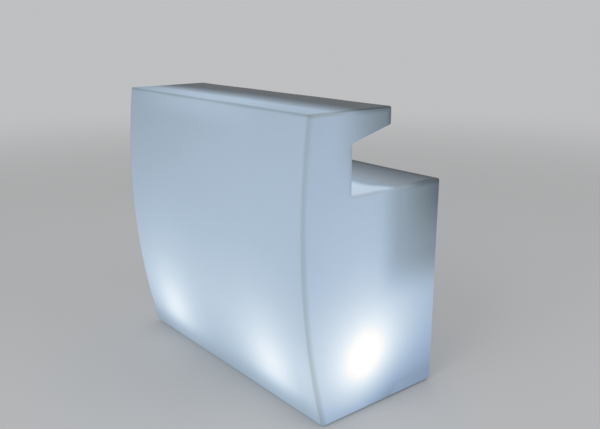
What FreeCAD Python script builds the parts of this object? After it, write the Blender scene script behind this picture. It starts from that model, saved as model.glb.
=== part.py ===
"""Illuminated bar counter: a hollow moulded body lit from inside by two lamps.

Millimetres. +X runs along the counter to the right as a customer sees it, the customer's
side faces -Y, and +Z is up. The origin is on the ground, in the middle of the footprint.
"""
import FreeCAD, Part
import math
import os

V = FreeCAD.Vector
AXIS_X = V(1, 0, 0)
AXIS_Y = V(0, 1, 0)
AXIS_Z = V(0, 0, 1)

# Body, outside
body_length = 1200.0
body_depth = 657.0
body_height = 1100.0
front_radius = 2730.0
bulge_height = 708.0
top_depth = 362.0
worktop_depth = 443.0
worktop_below_top = 285.0
lip_height = 63.0
underside_drop = 47.5
corner_radius = 8.0
edge_radius = 7.0
wall = 6.0
base_gap = 8.0

# Storage niche on the service side
niche_depth = 276.0
niche_height = 286.0
niche_end_gap = 48.0
niche_top_gap = 43.5
niche_corner_radius = 26.0
niche_back_radius = 20.0
niche_rim_radius = 7.0

# Service hatches in the base, one under each lamp
lamp_from_end = 240.0
lamp_from_rear = 373.0
hatch_count_of_screws = 6
hatch_opening_radius = 95.0
hatch_pocket_radius = 118.0
hatch_pocket_depth = 6.0
hatch_cover_thickness = 4.0
hatch_cover_radius = 117.0
hatch_hub_radius = 60.0
hatch_hub_height = 10.0
hatch_rib_thickness = 3.0
hatch_rib_end_radius = 91.0
hatch_screw_circle = 106.0
gasket_thickness = 2.0
gasket_edge_gap = 1.0
gasket_hole_radius = 3.0

# Countersunk screws, used on the hatches and on the service panel
screw_radius = 2.5
screw_length = 16.0
screw_head_radius = 4.9
screw_head_height = 2.4
screw_slot_width = 1.2
screw_slot_depth = 1.0
hole_clearance = 0.25
insert_radius = 4.0
insert_length = 12.0
insert_boss_radius = 8.0
insert_cap = 4.0

# Lamp bracket, holder and bulb
bracket_width = 40.0
bracket_thickness = 2.5
bracket_foot_length = 32.0
bracket_leg_offset = 24.0
bracket_top_height = 105.0
bracket_bend_radius = 4.0
bracket_screw_radius = 2.0
bracket_screw_spread = 22.0
bracket_screw_depth = 7.0
bracket_head_radius = 3.8
bracket_head_height = 2.6
holder_radius = 21.0
holder_floor = 12.0
holder_bore_radius = 13.6
nipple_radius = 5.5
nipple_bore_radius = 3.2
nipple_drop = 12.0
nut_thickness = 4.5
nut_across_corners = 19.0
fit_clearance = 0.1
bulb_cap_radius = 13.2
bulb_cap_height = 27.0
bulb_cap_show = 2.0
bulb_contact_radius = 5.0
bulb_contact_height = 2.0
bulb_neck_radius = 15.0
bulb_globe_radius = 47.5
bulb_globe_rise = 57.5

# Levelling feet
foot_inset = 75.0
foot_pad_radius = 25.0
foot_pad_chamfer = 2.0
foot_socket_floor = 2.5
foot_stem_radius = 5.0
foot_stem_rise = 28.0
foot_insert_radius = 9.0
foot_insert_length = 32.0
foot_boss_radius = 17.0
foot_boss_cap = 6.0

# Service panel, low on the service side
panel_height_above_ground = 130.0
panel_recess_width = 194.0
panel_recess_height = 116.0
panel_recess_depth = 26.0
panel_recess_radius = 10.0
panel_edge_gap = 5.0
panel_opening_width = 140.0
panel_opening_height = 78.0
panel_thickness = 4.0
panel_corner_radius = 6.0
panel_screw_spread_x = 162.0
panel_screw_spread_z = 92.0
panel_boss_cap = 3.0

# Power inlet and its flap
inlet_x = -26.0
inlet_flange_width = 50.0
inlet_flange_below = 25.0
inlet_flange_above = 33.0
inlet_flange_depth = 8.0
inlet_corner_radius = 4.0
inlet_body_radius = 20.0
inlet_bore_radius = 16.0
inlet_bore_depth = 24.0
inlet_collar_radius = 18.0
inlet_collar_depth = 8.0
inlet_back_wall = 5.0
inlet_pin_radius = 2.0
inlet_pin_length = 15.0
inlet_pin_circle = 8.5
inlet_pin_tail = 6.0
flap_gap = 0.4
flap_thickness = 3.0
flap_width = 44.0
flap_below = 22.0
flap_lip_radius = 20.5
flap_lip_wall = 1.5
flap_lip_gap = 0.15
barrel_radius = 3.2
barrel_width = 26.0
barrel_side_gap = 0.4
barrel_height = 28.5
ear_width = 5.0
hinge_pin_radius = 1.5
running_clearance = 0.08

# Rocker switch
switch_x = 34.0
switch_flange_width = 26.0
switch_flange_height = 40.0
switch_flange_depth = 4.0
switch_corner_radius = 3.0
switch_body_width = 22.0
switch_body_height = 35.0
switch_body_depth = 24.0
rocker_width = 15.0
rocker_radius = 14.0
rocker_centre_rise = 3.5
rocker_back = 6.0
rocker_gap = 0.35
rocker_pin_radius = 1.5
rocker_pin_reach = 2.0
rocker_tilt = 7.0
rocker_pivot_depth = 2.0

# Back box behind the panel, its terminals and its cable glands
back_box_width = 132.0
back_box_height = 72.0
back_box_depth = 48.0
back_box_wall = 2.5
back_box_pillar_radius = 5.0
back_box_screw_inset = 6.5
back_box_screw_length = 14.0
terminal_length = 64.0
terminal_height = 16.0
terminal_depth = 14.0
terminal_lift = 14.0
terminal_ways = 5
terminal_hole_radius = 2.2
terminal_hole_depth = 8.0
gland_x = 30.0
gland_below_centre = 18.0
gland_hex_corners = 18.0
gland_hex_length = 6.0
gland_dome_radius = 7.0
gland_dome_length = 10.0
gland_thread_radius = 6.0
gland_thread_reach = 3.0

# Lamp cables and their clips
cable_radius = 3.0
cable_clearance = 0.15
cable_in_box = 6.0
cable_first_run = 54.0
cable_floor_height = 20.0
cable_rise_run = 39.0
cable_end_height = 2.0
cable_arc_share = 0.45
# Middle of the route: share of the way from gland to lamp in x and in y, and of the drop
cable_route_shares = [
    (0.05, 0.27, 0.70),
    (0.14, 0.39, 0.34),
    (0.26, 0.48, 0.08),
    (0.42, 0.545, 0.0),
    (0.60, 0.58, 0.0),
    (0.77, 0.65, 0.0),
    (0.94, 0.73, 0.0),
]
clip_count = 2
clip_length = 12.0
clip_width = 12.0
clip_cap = 3.0
clip_pad_length = 20.0
clip_pad_width = 24.0
clip_pad_thickness = 2.0

overrun = 10.0

# Levels and places that follow from the sizes above
base_z = base_gap
top_z = base_z + body_height
rear_y = body_depth / 2
front_y = -body_depth / 2
floor_z = base_z + wall
arc_y = front_y + front_radius
arc_z = base_z + bulge_height
half_length = body_length / 2
worktop_z = top_z - worktop_below_top
notch_y = rear_y - worktop_depth


def front_at(z, inset=0.0):
    """y of the bowed front at height z, on a circle whose radius is less by the inset."""
    return arc_y - math.sqrt((front_radius - inset) ** 2 - (z - arc_z) ** 2)


top_front_y = front_at(top_z)
lip_y = top_front_y + top_depth
base_front_y = front_at(base_z)

lamp_x = half_length - lamp_from_end
lamp_y = rear_y - lamp_from_rear
pocket_z = base_z + hatch_pocket_depth
gasket_z = pocket_z - gasket_thickness
hub_z = base_z + hatch_hub_height
hatch_boss_z = pocket_z + insert_length + insert_cap
holder_z = base_z + bracket_top_height
cap_z = holder_z + holder_floor + fit_clearance
holder_height = holder_floor + bulb_cap_height - bulb_cap_show
globe_z = cap_z + bulb_cap_height + bulb_globe_rise

niche_y = rear_y - niche_depth
niche_top_z = worktop_z - niche_top_gap
niche_floor_z = niche_top_z - niche_height
niche_half = half_length - niche_end_gap

panel_z = base_z + panel_height_above_ground
recess_y = rear_y - panel_recess_depth
panel_back_y = recess_y + gasket_thickness
panel_front_y = panel_back_y + panel_thickness
box_back_y = panel_back_y - back_box_depth
inlet_front_y = panel_front_y + inlet_flange_depth
inlet_floor_y = inlet_front_y - inlet_bore_depth
hinge_y = inlet_front_y + flap_gap + barrel_radius
hinge_z = panel_z + barrel_height
pivot_y = panel_front_y + switch_flange_depth - rocker_pivot_depth
gland_z = panel_z - gland_below_centre
cable_z = base_z + cable_floor_height

SIDES = {"left": -1, "right": 1}
FEET = {
    "front_left": (-half_length + foot_inset, base_front_y + foot_inset),
    "front_right": (half_length - foot_inset, base_front_y + foot_inset),
    "rear_left": (-half_length + foot_inset, rear_y - foot_inset),
    "rear_right": (half_length - foot_inset, rear_y - foot_inset),
}


def block(x0, x1, y0, y1, z0, z1):
    """A box between two corners."""
    return Part.makeBox(x1 - x0, y1 - y0, z1 - z0, V(x0, y0, z0))


def rod(radius, start, length, axis=AXIS_Z):
    """A round bar of a given length from a start point along an axis."""
    return Part.makeCylinder(radius, length, start, axis)


def hexagon(across_corners, start, length, axis):
    """A hexagonal prism from a start point along an axis."""
    outline = Part.makePolygon(
        [V(across_corners / 2 * math.cos(math.radians(60 * k)),
           across_corners / 2 * math.sin(math.radians(60 * k)), 0) for k in range(7)])
    prism = Part.Face(outline).extrude(AXIS_Z * length)
    prism.Placement = FreeCAD.Placement(start, FreeCAD.Rotation(AXIS_Z, axis))
    return prism


def round_along(shape, radius, axis, test=None):
    """Rounds the straight edges that run along an axis and pass the test on their middle."""
    chosen = []
    for edge in shape.Edges:
        ends = [vertex.Point for vertex in edge.Vertexes]
        if len(ends) == 2 and isinstance(edge.Curve, Part.Line):
            run = ends[1] - ends[0]
            middle = (ends[0] + ends[1]) * 0.5
            if abs(run.dot(axis)) > run.Length * 0.999 and (test is None or test(middle)):
                chosen.append(edge)
    return shape.makeFillet(radius, chosen)


def round_rim(shape, radius, axis, place, test=None):
    """Rounds every edge that lies in the plane at a place along an axis."""
    chosen = []
    for edge in shape.Edges:
        box = edge.BoundBox
        low = V(box.XMin, box.YMin, box.ZMin).dot(axis)
        high = V(box.XMax, box.YMax, box.ZMax).dot(axis)
        flat = abs(low - place) < wall / 100 and abs(high - place) < wall / 100
        if flat and (test is None or test(box.Center)):
            chosen.append(edge)
    return shape.makeFillet(radius, chosen)


def section_corners(inset):
    """The corners of the counter's section in y and z, each side moved in by the inset."""
    slope = underside_drop / (lip_y - notch_y)
    lip_z = top_z - lip_height
    lift = inset * math.hypot(1, slope)

    def underside(y):
        return lip_z - underside_drop + (y - notch_y) * slope + lift

    low = base_z + inset
    high = top_z - inset
    rear = rear_y - inset
    deck = worktop_z - inset
    neck = notch_y - inset
    lip = lip_y - inset
    return [
        V(0, front_at(low, inset), low), V(0, rear, low), V(0, rear, deck),
        V(0, neck, deck), V(0, neck, underside(neck)), V(0, lip, underside(lip)),
        V(0, lip, high), V(0, front_at(high, inset), high),
    ]


def counter_block(inset, corner, edge):
    """The section run along X, with its long corners rounded and then its two end rims."""
    corners = section_corners(inset)
    half = half_length - inset
    bulge = V(0, front_at(arc_z, inset), arc_z)
    sides = [Part.makeLine(a, b) for a, b in zip(corners, corners[1:])]
    sides.append(Part.Arc(corners[-1], bulge, corners[0]).toShape())
    face = Part.Face(Part.Wire(sides))
    face.translate(V(-half, 0, 0))
    solid = face.extrude(AXIS_X * (2 * half))
    solid = round_along(solid, corner, AXIS_X)
    solid = round_rim(solid, edge, AXIS_X, half)
    return round_rim(solid, edge, AXIS_X, -half)


def niche_block(grow):
    """The storage niche, or its outer wall when grown by the wall thickness."""
    solid = block(-niche_half - grow, niche_half + grow, niche_y - grow, rear_y + overrun,
                  niche_floor_z - grow, niche_top_z + grow)
    solid = round_along(solid, niche_corner_radius + grow, AXIS_Y)
    return round_rim(solid, niche_back_radius + grow, AXIS_Y, niche_y - grow)


def panel_block(width, height, y0, y1, radius, x=0.0):
    """A plate or pocket of the service panel, with rounded corners, between two depths."""
    solid = block(x - width / 2, x + width / 2, y0, y1,
                  panel_z - height / 2, panel_z + height / 2)
    return round_along(solid, radius, AXIS_Y)


def hatch_places(side):
    """The screw places of one hatch, the first one turned half a step from X."""
    step = 360.0 / hatch_count_of_screws
    places = []
    for k in range(hatch_count_of_screws):
        angle = math.radians(step * (k + 0.5))
        places.append((side * lamp_x + hatch_screw_circle * math.cos(angle),
                       lamp_y + hatch_screw_circle * math.sin(angle)))
    return places


def panel_places():
    """The four screw places of the service panel in x and z."""
    return [(sx * panel_screw_spread_x / 2, panel_z + sz * panel_screw_spread_z / 2)
            for sx in (-1, 1) for sz in (-1, 1)]


def back_box_places():
    """The four screw places of the back box in x and z."""
    dx = back_box_width / 2 - back_box_screw_inset
    dz = back_box_height / 2 - back_box_screw_inset
    return [(sx * dx, panel_z + sz * dz) for sx in (-1, 1) for sz in (-1, 1)]


def body_shell():
    """One hollow moulding: the outer form less the cavity, the niche and the pockets."""
    outer = counter_block(0.0, corner_radius, edge_radius)
    cavity = counter_block(wall, corner_radius - wall, edge_radius - wall)
    kept = [niche_block(wall)]
    kept.append(panel_block(panel_recess_width + 2 * wall, panel_recess_height + 2 * wall,
                            recess_y - wall, rear_y, panel_recess_radius + wall))
    cut = [panel_block(panel_recess_width, panel_recess_height, recess_y, rear_y + overrun,
                       panel_recess_radius),
           panel_block(panel_opening_width, panel_opening_height,
                       recess_y - wall - overrun, rear_y, panel_corner_radius)]
    for x, z in panel_places():
        reach = insert_length + panel_boss_cap
        kept.append(rod(insert_boss_radius, V(x, recess_y, z), reach, -AXIS_Y))
        cut.append(rod(insert_radius + fit_clearance, V(x, recess_y, z),
                       insert_length, -AXIS_Y))
    for side in SIDES.values():
        centre = V(side * lamp_x, lamp_y, base_z)
        kept.append(rod(hatch_pocket_radius + wall, centre, hatch_pocket_depth + wall))
        below = centre - AXIS_Z * overrun
        cut.append(rod(hatch_pocket_radius, below, hatch_pocket_depth + overrun))
        cut.append(rod(hatch_opening_radius, centre, hatch_pocket_depth + wall + overrun))
        for x, y in hatch_places(side):
            kept.append(rod(insert_boss_radius, V(x, y, base_z), hatch_boss_z - base_z))
            cut.append(rod(insert_radius + fit_clearance, V(x, y, pocket_z),
                           insert_length))
    for x, y in FEET.values():
        reach = foot_insert_length + foot_boss_cap
        kept.append(rod(foot_boss_radius, V(x, y, base_z), reach))
        cut.append(rod(foot_insert_radius + fit_clearance, V(x, y, base_z - overrun),
                       foot_insert_length + overrun))
    cavity = cavity.cut(kept)
    shell = outer.cut([cavity, niche_block(0.0)])
    shell = round_rim(shell, niche_rim_radius, AXIS_Y, rear_y,
                      lambda p: niche_floor_z - wall < p.z < niche_top_z + wall
                      and abs(p.x) < niche_half + wall)
    return shell.cut(cut).Solids[0]


def screw(start, axis, length):
    """A countersunk screw with a slot, its head's face at the start point."""
    turn = FreeCAD.Placement(start, FreeCAD.Rotation(AXIS_Z, axis))
    head = Part.makeCone(screw_head_radius, screw_radius, screw_head_height)
    shank = rod(screw_radius, V(0, 0, 0), length)
    slot = block(-screw_head_radius, screw_head_radius, -screw_slot_width / 2,
                 screw_slot_width / 2, 0, screw_slot_depth)
    solid = head.fuse(shank).removeSplitter().cut(slot)
    solid.Placement = turn
    return solid


def screw_hole(start, axis, depth):
    """The countersunk hole that a screw sits in, a clearance larger all round."""
    radius = screw_radius + hole_clearance
    head = Part.makeCone(screw_head_radius + hole_clearance, radius, screw_head_height)
    shape = head.fuse(rod(radius, V(0, 0, 0), depth))
    shape.Placement = FreeCAD.Placement(start, FreeCAD.Rotation(AXIS_Z, axis))
    return shape


def threaded_insert(start, axis):
    """A brass insert for one screw, with its hole through it."""
    solid = rod(insert_radius, start, insert_length, axis)
    return solid.cut(rod(screw_radius + fit_clearance, start, insert_length, axis))


def hatch_cover(side):
    """A disc with a thick middle for the lamp bracket and six stiffening ribs."""
    centre = V(side * lamp_x, lamp_y, base_z)
    solid = rod(hatch_cover_radius, centre, hatch_cover_thickness)
    parts = [rod(hatch_hub_radius, centre, hatch_hub_height)]
    for k in range(hatch_count_of_screws):
        rib = block(hatch_hub_radius / 2, hatch_rib_end_radius, -hatch_rib_thickness / 2,
                    hatch_rib_thickness / 2, 0, hatch_hub_height)
        rib.rotate(V(0, 0, 0), AXIS_Z, 360.0 / hatch_count_of_screws * (k + 0.5))
        rib.translate(centre)
        parts.append(rib)
    solid = solid.fuse(parts).removeSplitter()
    holes = [screw_hole(V(x, y, base_z), AXIS_Z, hatch_cover_thickness + overrun)
             for x, y in hatch_places(side)]
    for x, y in bracket_screw_places(side):
        holes.append(rod(bracket_screw_radius + fit_clearance,
                         V(x, y, hub_z - bracket_screw_depth), bracket_screw_depth))
    return solid.cut(holes)


def hatch_gasket(side):
    """A flat ring between the cover and the pocket's floor."""
    centre = V(side * lamp_x, lamp_y, gasket_z)
    ring = rod(hatch_cover_radius - gasket_edge_gap, centre, gasket_thickness)
    ring = ring.cut(rod(hatch_opening_radius + gasket_edge_gap, centre, gasket_thickness))
    return ring.cut([rod(gasket_hole_radius, V(x, y, gasket_z), gasket_thickness)
                     for x, y in hatch_places(side)])


def bracket_screw_places(side):
    """The two screws through the bracket's foot, beside each other along X."""
    y = lamp_y - bracket_leg_offset - bracket_foot_length / 2
    return [(side * lamp_x + sx * bracket_screw_spread / 2, y) for sx in (-1, 1)]


def lamp_bracket(side):
    """A strip folded twice: a foot on the hatch, a leg, and a top that holds the lamp."""
    t = bracket_thickness
    leg_y = lamp_y - bracket_leg_offset
    end_y = lamp_y + bracket_leg_offset
    outline = [
        (leg_y - bracket_foot_length, hub_z), (leg_y + t, hub_z),
        (leg_y + t, holder_z - t), (end_y, holder_z - t),
        (end_y, holder_z), (leg_y, holder_z),
        (leg_y, hub_z + t), (leg_y - bracket_foot_length, hub_z + t),
    ]
    x0 = side * lamp_x - bracket_width / 2
    points = [V(x0, y, z) for y, z in outline]
    solid = Part.Face(Part.makePolygon(points + points[:1])).extrude(AXIS_X * bracket_width)
    inner = bracket_bend_radius - t
    near = t / 2

    def outer_bend(p):
        at_foot = abs(p.y - leg_y - t) < near and abs(p.z - hub_z) < near
        at_top = abs(p.y - leg_y) < near and abs(p.z - holder_z) < near
        return at_foot or at_top

    def inner_bend(p):
        at_foot = abs(p.y - leg_y) < near and abs(p.z - hub_z - t) < near
        at_top = abs(p.y - leg_y - t) < near and abs(p.z - holder_z + t) < near
        return at_foot or at_top

    solid = round_along(solid, inner, AXIS_X, inner_bend)
    solid = round_along(solid, bracket_bend_radius, AXIS_X, outer_bend)
    holes = [rod(nipple_radius + fit_clearance, V(side * lamp_x, lamp_y, holder_z - t), t)]
    for x, y in bracket_screw_places(side):
        holes.append(rod(bracket_screw_radius + hole_clearance, V(x, y, hub_z), t))
    return solid.cut(holes)


def bracket_screws():
    """Pan-head screws that hold both brackets to the hatch covers."""
    solids = []
    for side in SIDES.values():
        for x, y in bracket_screw_places(side):
            length = bracket_screw_depth + bracket_thickness
            shank = rod(bracket_screw_radius, V(x, y, hub_z - bracket_screw_depth), length)
            head = rod(bracket_head_radius, V(x, y, hub_z + bracket_thickness),
                       bracket_head_height)
            head = head.makeChamfer(bracket_head_height / 4, [head.Edges[0]])
            solids.append(shank.fuse(head).removeSplitter())
    return Part.makeCompound(solids)


def lampholder(side):
    """A cup for the bulb's cap, on a hollow nipple that passes through the bracket."""
    centre = V(side * lamp_x, lamp_y, holder_z)
    cup = rod(holder_radius, centre, holder_height)
    cup = cup.makeChamfer(holder_radius / 10, [edge for edge in cup.Edges
                                               if isinstance(edge.Curve, Part.Circle)])
    nipple = rod(nipple_radius, centre - AXIS_Z * nipple_drop, nipple_drop + holder_floor / 2)
    solid = cup.fuse(nipple).removeSplitter()
    solid = solid.cut(rod(holder_bore_radius, centre + AXIS_Z * holder_floor, holder_height))
    return solid.cut(rod(nipple_bore_radius, centre - AXIS_Z * nipple_drop,
                         nipple_drop + holder_floor / 2))


def holder_nut(side):
    """The nut that clamps the holder to the bracket from below."""
    start = V(side * lamp_x, lamp_y, holder_z - bracket_thickness)
    nut = hexagon(nut_across_corners, start, nut_thickness, -AXIS_Z)
    return nut.cut(rod(nipple_radius + fit_clearance, start, nut_thickness, -AXIS_Z))


def bulb_cap(side):
    """The bulb's screwed metal cap with its end contact."""
    start = V(side * lamp_x, lamp_y, cap_z)
    contact = rod(bulb_contact_radius, start, bulb_contact_height)
    body = rod(bulb_cap_radius, start + AXIS_Z * bulb_contact_height,
               bulb_cap_height - bulb_contact_height)
    return contact.fuse(body).removeSplitter()


def bulb_globe(side):
    """An opal globe that narrows to a neck on the cap."""
    start = V(side * lamp_x, lamp_y, cap_z + bulb_cap_height)
    centre = V(side * lamp_x, lamp_y, globe_z)
    neck = Part.makeCone(bulb_neck_radius, bulb_globe_radius / 2,
                         globe_z - bulb_globe_radius / 2 - start.z, start, AXIS_Z)
    return neck.fuse(Part.makeSphere(bulb_globe_radius, centre)).removeSplitter()


def foot_pad(place):
    """A round pad with a blind socket for the stem."""
    x, y = place
    pad = rod(foot_pad_radius, V(x, y, 0), base_gap)
    pad = pad.makeChamfer(foot_pad_chamfer, [edge for edge in pad.Edges
                                             if isinstance(edge.Curve, Part.Circle)])
    return pad.cut(rod(foot_stem_radius + fit_clearance, V(x, y, foot_socket_floor),
                       base_gap))


def foot_stem(place):
    """The screwed stem, from the pad's socket up into the insert."""
    x, y = place
    length = base_gap - foot_socket_floor + foot_stem_rise
    stem = rod(foot_stem_radius, V(x, y, foot_socket_floor), length)
    return stem.makeChamfer(foot_stem_radius / 5, [edge for edge in stem.Edges
                                                   if isinstance(edge.Curve, Part.Circle)])


def foot_inserts():
    """Brass inserts moulded into the base for the levelling feet."""
    solids = []
    for x, y in FEET.values():
        start = V(x, y, base_z)
        body = rod(foot_insert_radius, start, foot_insert_length)
        solids.append(body.cut(rod(foot_stem_radius + running_clearance, start,
                                   foot_insert_length)))
    return Part.makeCompound(solids)


def panel_plate():
    """The service panel, cut out for the inlet and the switch."""
    plate = panel_block(panel_recess_width - 2 * panel_edge_gap,
                        panel_recess_height - 2 * panel_edge_gap,
                        panel_back_y, panel_front_y, panel_corner_radius)
    holes = [screw_hole(V(x, panel_front_y, z), -AXIS_Y, panel_thickness + overrun)
             for x, z in panel_places() + back_box_places()]
    holes.append(rod(inlet_body_radius + hole_clearance,
                     V(inlet_x, panel_back_y, panel_z), panel_thickness, AXIS_Y))
    holes.append(panel_block(switch_body_width + 2 * hole_clearance,
                             switch_body_height + 2 * hole_clearance,
                             panel_back_y, panel_front_y, switch_corner_radius / 2,
                             switch_x))
    return plate.cut(holes)


def panel_gasket():
    """A flat frame between the panel and the recess's floor."""
    frame = panel_block(panel_recess_width - 2 * panel_edge_gap - 2 * gasket_edge_gap,
                        panel_recess_height - 2 * panel_edge_gap - 2 * gasket_edge_gap,
                        recess_y, panel_back_y, panel_corner_radius)
    frame = frame.cut(panel_block(panel_opening_width, panel_opening_height,
                                  recess_y, panel_back_y, panel_corner_radius))
    return frame.cut([rod(gasket_hole_radius, V(x, recess_y, z), gasket_thickness, AXIS_Y)
                      for x, z in panel_places()])


def inlet_housing():
    """A flanged socket with a wider mouth, and two ears that hold the flap's pin."""
    x = inlet_x
    flange = block(x - inlet_flange_width / 2, x + inlet_flange_width / 2, panel_front_y,
                   inlet_front_y, panel_z - inlet_flange_below, panel_z + inlet_flange_above)
    flange = round_along(flange, inlet_corner_radius, AXIS_Y)
    back_y = inlet_floor_y - inlet_back_wall
    body = rod(inlet_body_radius, V(x, back_y, panel_z),
               panel_front_y + inlet_flange_depth / 2 - back_y, AXIS_Y)
    parts = [body]
    for sx in (-1, 1):
        near = barrel_width / 2 + barrel_side_gap
        x0, x1 = sorted((x + sx * near, x + sx * (near + ear_width)))
        ear = rod(barrel_radius, V(x0, hinge_y, hinge_z), x1 - x0, AXIS_X)
        web = block(x0, x1, inlet_front_y, hinge_y, hinge_z - barrel_radius,
                    hinge_z + barrel_radius)
        parts.append(ear.fuse(web))
    solid = flange.fuse(parts).removeSplitter()
    reach = barrel_width / 2 + barrel_side_gap + ear_width
    mouth = V(x, inlet_front_y, panel_z)
    cuts = [rod(inlet_bore_radius, mouth, inlet_bore_depth, -AXIS_Y),
            rod(inlet_collar_radius, mouth, inlet_collar_depth, -AXIS_Y),
            rod(hinge_pin_radius + fit_clearance, V(x - reach, hinge_y, hinge_z), 2 * reach,
                AXIS_X)]
    for px, pz in inlet_pin_places():
        cuts.append(rod(inlet_pin_radius + fit_clearance, V(px, back_y, pz),
                        inlet_back_wall, AXIS_Y))
    return solid.cut(cuts)


def inlet_pin_places():
    """Three contact pins on a circle, the first one at the top."""
    places = []
    for k in range(3):
        angle = math.radians(90 + 120 * k)
        places.append((inlet_x + inlet_pin_circle * math.cos(angle),
                       panel_z + inlet_pin_circle * math.sin(angle)))
    return places


def inlet_pins():
    """The contact pins, through the socket's back wall into the back box."""
    start_y = inlet_floor_y - inlet_back_wall - inlet_pin_tail
    length = inlet_pin_tail + inlet_back_wall + inlet_pin_length
    solids = []
    for x, z in inlet_pin_places():
        pin = rod(inlet_pin_radius, V(x, start_y, z), length, AXIS_Y)
        tip = [edge for edge in pin.Edges if isinstance(edge.Curve, Part.Circle)
               and edge.Curve.Center.y > inlet_floor_y]
        solids.append(pin.makeFillet(inlet_pin_radius / 2, tip))
    return Part.makeCompound(solids)


def inlet_flap():
    """The flap: a plate over the socket, a sealing lip round its mouth and a barrel."""
    x = inlet_x
    y0 = inlet_front_y + flap_gap
    y1 = y0 + flap_thickness
    plate = block(x - flap_width / 2, x + flap_width / 2, y0, y1, panel_z - flap_below,
                  hinge_z - barrel_radius - flap_gap)
    plate = round_along(plate, inlet_corner_radius, AXIS_Y)
    neck = block(x - barrel_width / 2, x + barrel_width / 2, y0, y1,
                 hinge_z - barrel_radius - inlet_corner_radius, hinge_z)
    barrel = rod(barrel_radius, V(x - barrel_width / 2, hinge_y, hinge_z), barrel_width,
                 AXIS_X)
    lip_start = V(x, inlet_front_y + flap_lip_gap, panel_z)
    lip_depth = flap_gap - flap_lip_gap
    ring = rod(flap_lip_radius, lip_start, lip_depth, AXIS_Y)
    ring = ring.cut(rod(flap_lip_radius - flap_lip_wall, lip_start, lip_depth, AXIS_Y))
    solid = plate.fuse([neck, barrel, ring]).removeSplitter()
    return solid.cut(rod(hinge_pin_radius + running_clearance,
                         V(x - barrel_width, hinge_y, hinge_z), 2 * barrel_width, AXIS_X))


def flap_hinge_pin():
    """The pin that the flap hangs on, fixed in both ears."""
    reach = barrel_width / 2 + barrel_side_gap + ear_width
    return rod(hinge_pin_radius, V(inlet_x - reach, hinge_y, hinge_z), 2 * reach, AXIS_X)


def switch_housing():
    """The switch's frame and body, hollowed where the rocker swings."""
    front = panel_front_y + switch_flange_depth
    flange = panel_block(switch_flange_width, switch_flange_height, panel_front_y, front,
                         switch_corner_radius, switch_x)
    body = panel_block(switch_body_width, switch_body_height,
                       panel_front_y - switch_body_depth, panel_front_y,
                       switch_corner_radius / 2, switch_x)
    solid = flange.fuse(body).removeSplitter()
    half = rocker_width / 2 + rocker_gap
    reach = rocker_radius + rocker_gap
    hollow = block(switch_x - half, switch_x + half, pivot_y - reach, front + overrun,
                   panel_z - reach, panel_z + reach)
    pin = rod(rocker_pin_radius + running_clearance,
              V(switch_x - half - rocker_pin_reach, pivot_y, panel_z),
              2 * (half + rocker_pin_reach), AXIS_X)
    return solid.cut([hollow, pin])


def switch_rocker():
    """A rocker with a shallow V front and round ends, tilted onto its on side."""
    tilt = math.tan(math.radians(rocker_tilt))
    crest = rocker_centre_rise + rocker_radius * tilt
    outline = [(-rocker_back, -rocker_radius), (-rocker_back, rocker_radius),
               (crest, rocker_radius), (rocker_centre_rise, 0), (crest, -rocker_radius)]
    x0 = switch_x - rocker_width / 2
    points = [V(x0, pivot_y + y, panel_z + z) for y, z in outline]
    wedge = Part.Face(Part.makePolygon(points + points[:1])).extrude(AXIS_X * rocker_width)
    centre = V(x0, pivot_y, panel_z)
    solid = wedge.common(rod(rocker_radius, centre, rocker_width, AXIS_X))
    reach = rocker_width / 2 + rocker_gap + rocker_pin_reach - fit_clearance
    solid = solid.fuse(rod(rocker_pin_radius, V(switch_x - reach, pivot_y, panel_z),
                           2 * reach, AXIS_X)).removeSplitter()
    solid.rotate(V(switch_x, pivot_y, panel_z), AXIS_X, -rocker_tilt)
    return solid


def back_box():
    """A box on the panel's back, over the inlet's and the switch's terminals."""
    solid = panel_block(back_box_width, back_box_height, box_back_y, panel_back_y,
                        panel_corner_radius)
    inside = panel_block(back_box_width - 2 * back_box_wall,
                         back_box_height - 2 * back_box_wall, box_back_y + back_box_wall,
                         panel_back_y, panel_corner_radius - back_box_wall)
    pillars = [rod(back_box_pillar_radius, V(x, box_back_y, z), back_box_depth, AXIS_Y)
               for x, z in back_box_places()]
    solid = solid.cut(inside.cut(pillars))
    holes = [rod(screw_radius + fit_clearance, V(x, panel_back_y, z),
                 back_box_screw_length, -AXIS_Y) for x, z in back_box_places()]
    for side in SIDES.values():
        holes.append(rod(gland_thread_radius + fit_clearance,
                         V(side * gland_x, box_back_y, gland_z), back_box_wall, AXIS_Y))
    return solid.cut(holes)


def terminal_block():
    """A row of terminals on the back box's floor, with an entry hole for each way."""
    y0 = box_back_y + back_box_wall
    z0 = panel_z + terminal_lift - terminal_height / 2
    solid = block(-terminal_length / 2, terminal_length / 2, y0, y0 + terminal_depth, z0,
                  z0 + terminal_height)
    pitch = terminal_length / terminal_ways
    holes = []
    for k in range(terminal_ways):
        x = pitch * (k - (terminal_ways - 1) / 2)
        holes.append(rod(terminal_hole_radius, V(x, y0 + terminal_depth,
                                                 panel_z + terminal_lift),
                         terminal_hole_depth, -AXIS_Y))
    return solid.cut(holes)


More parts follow.
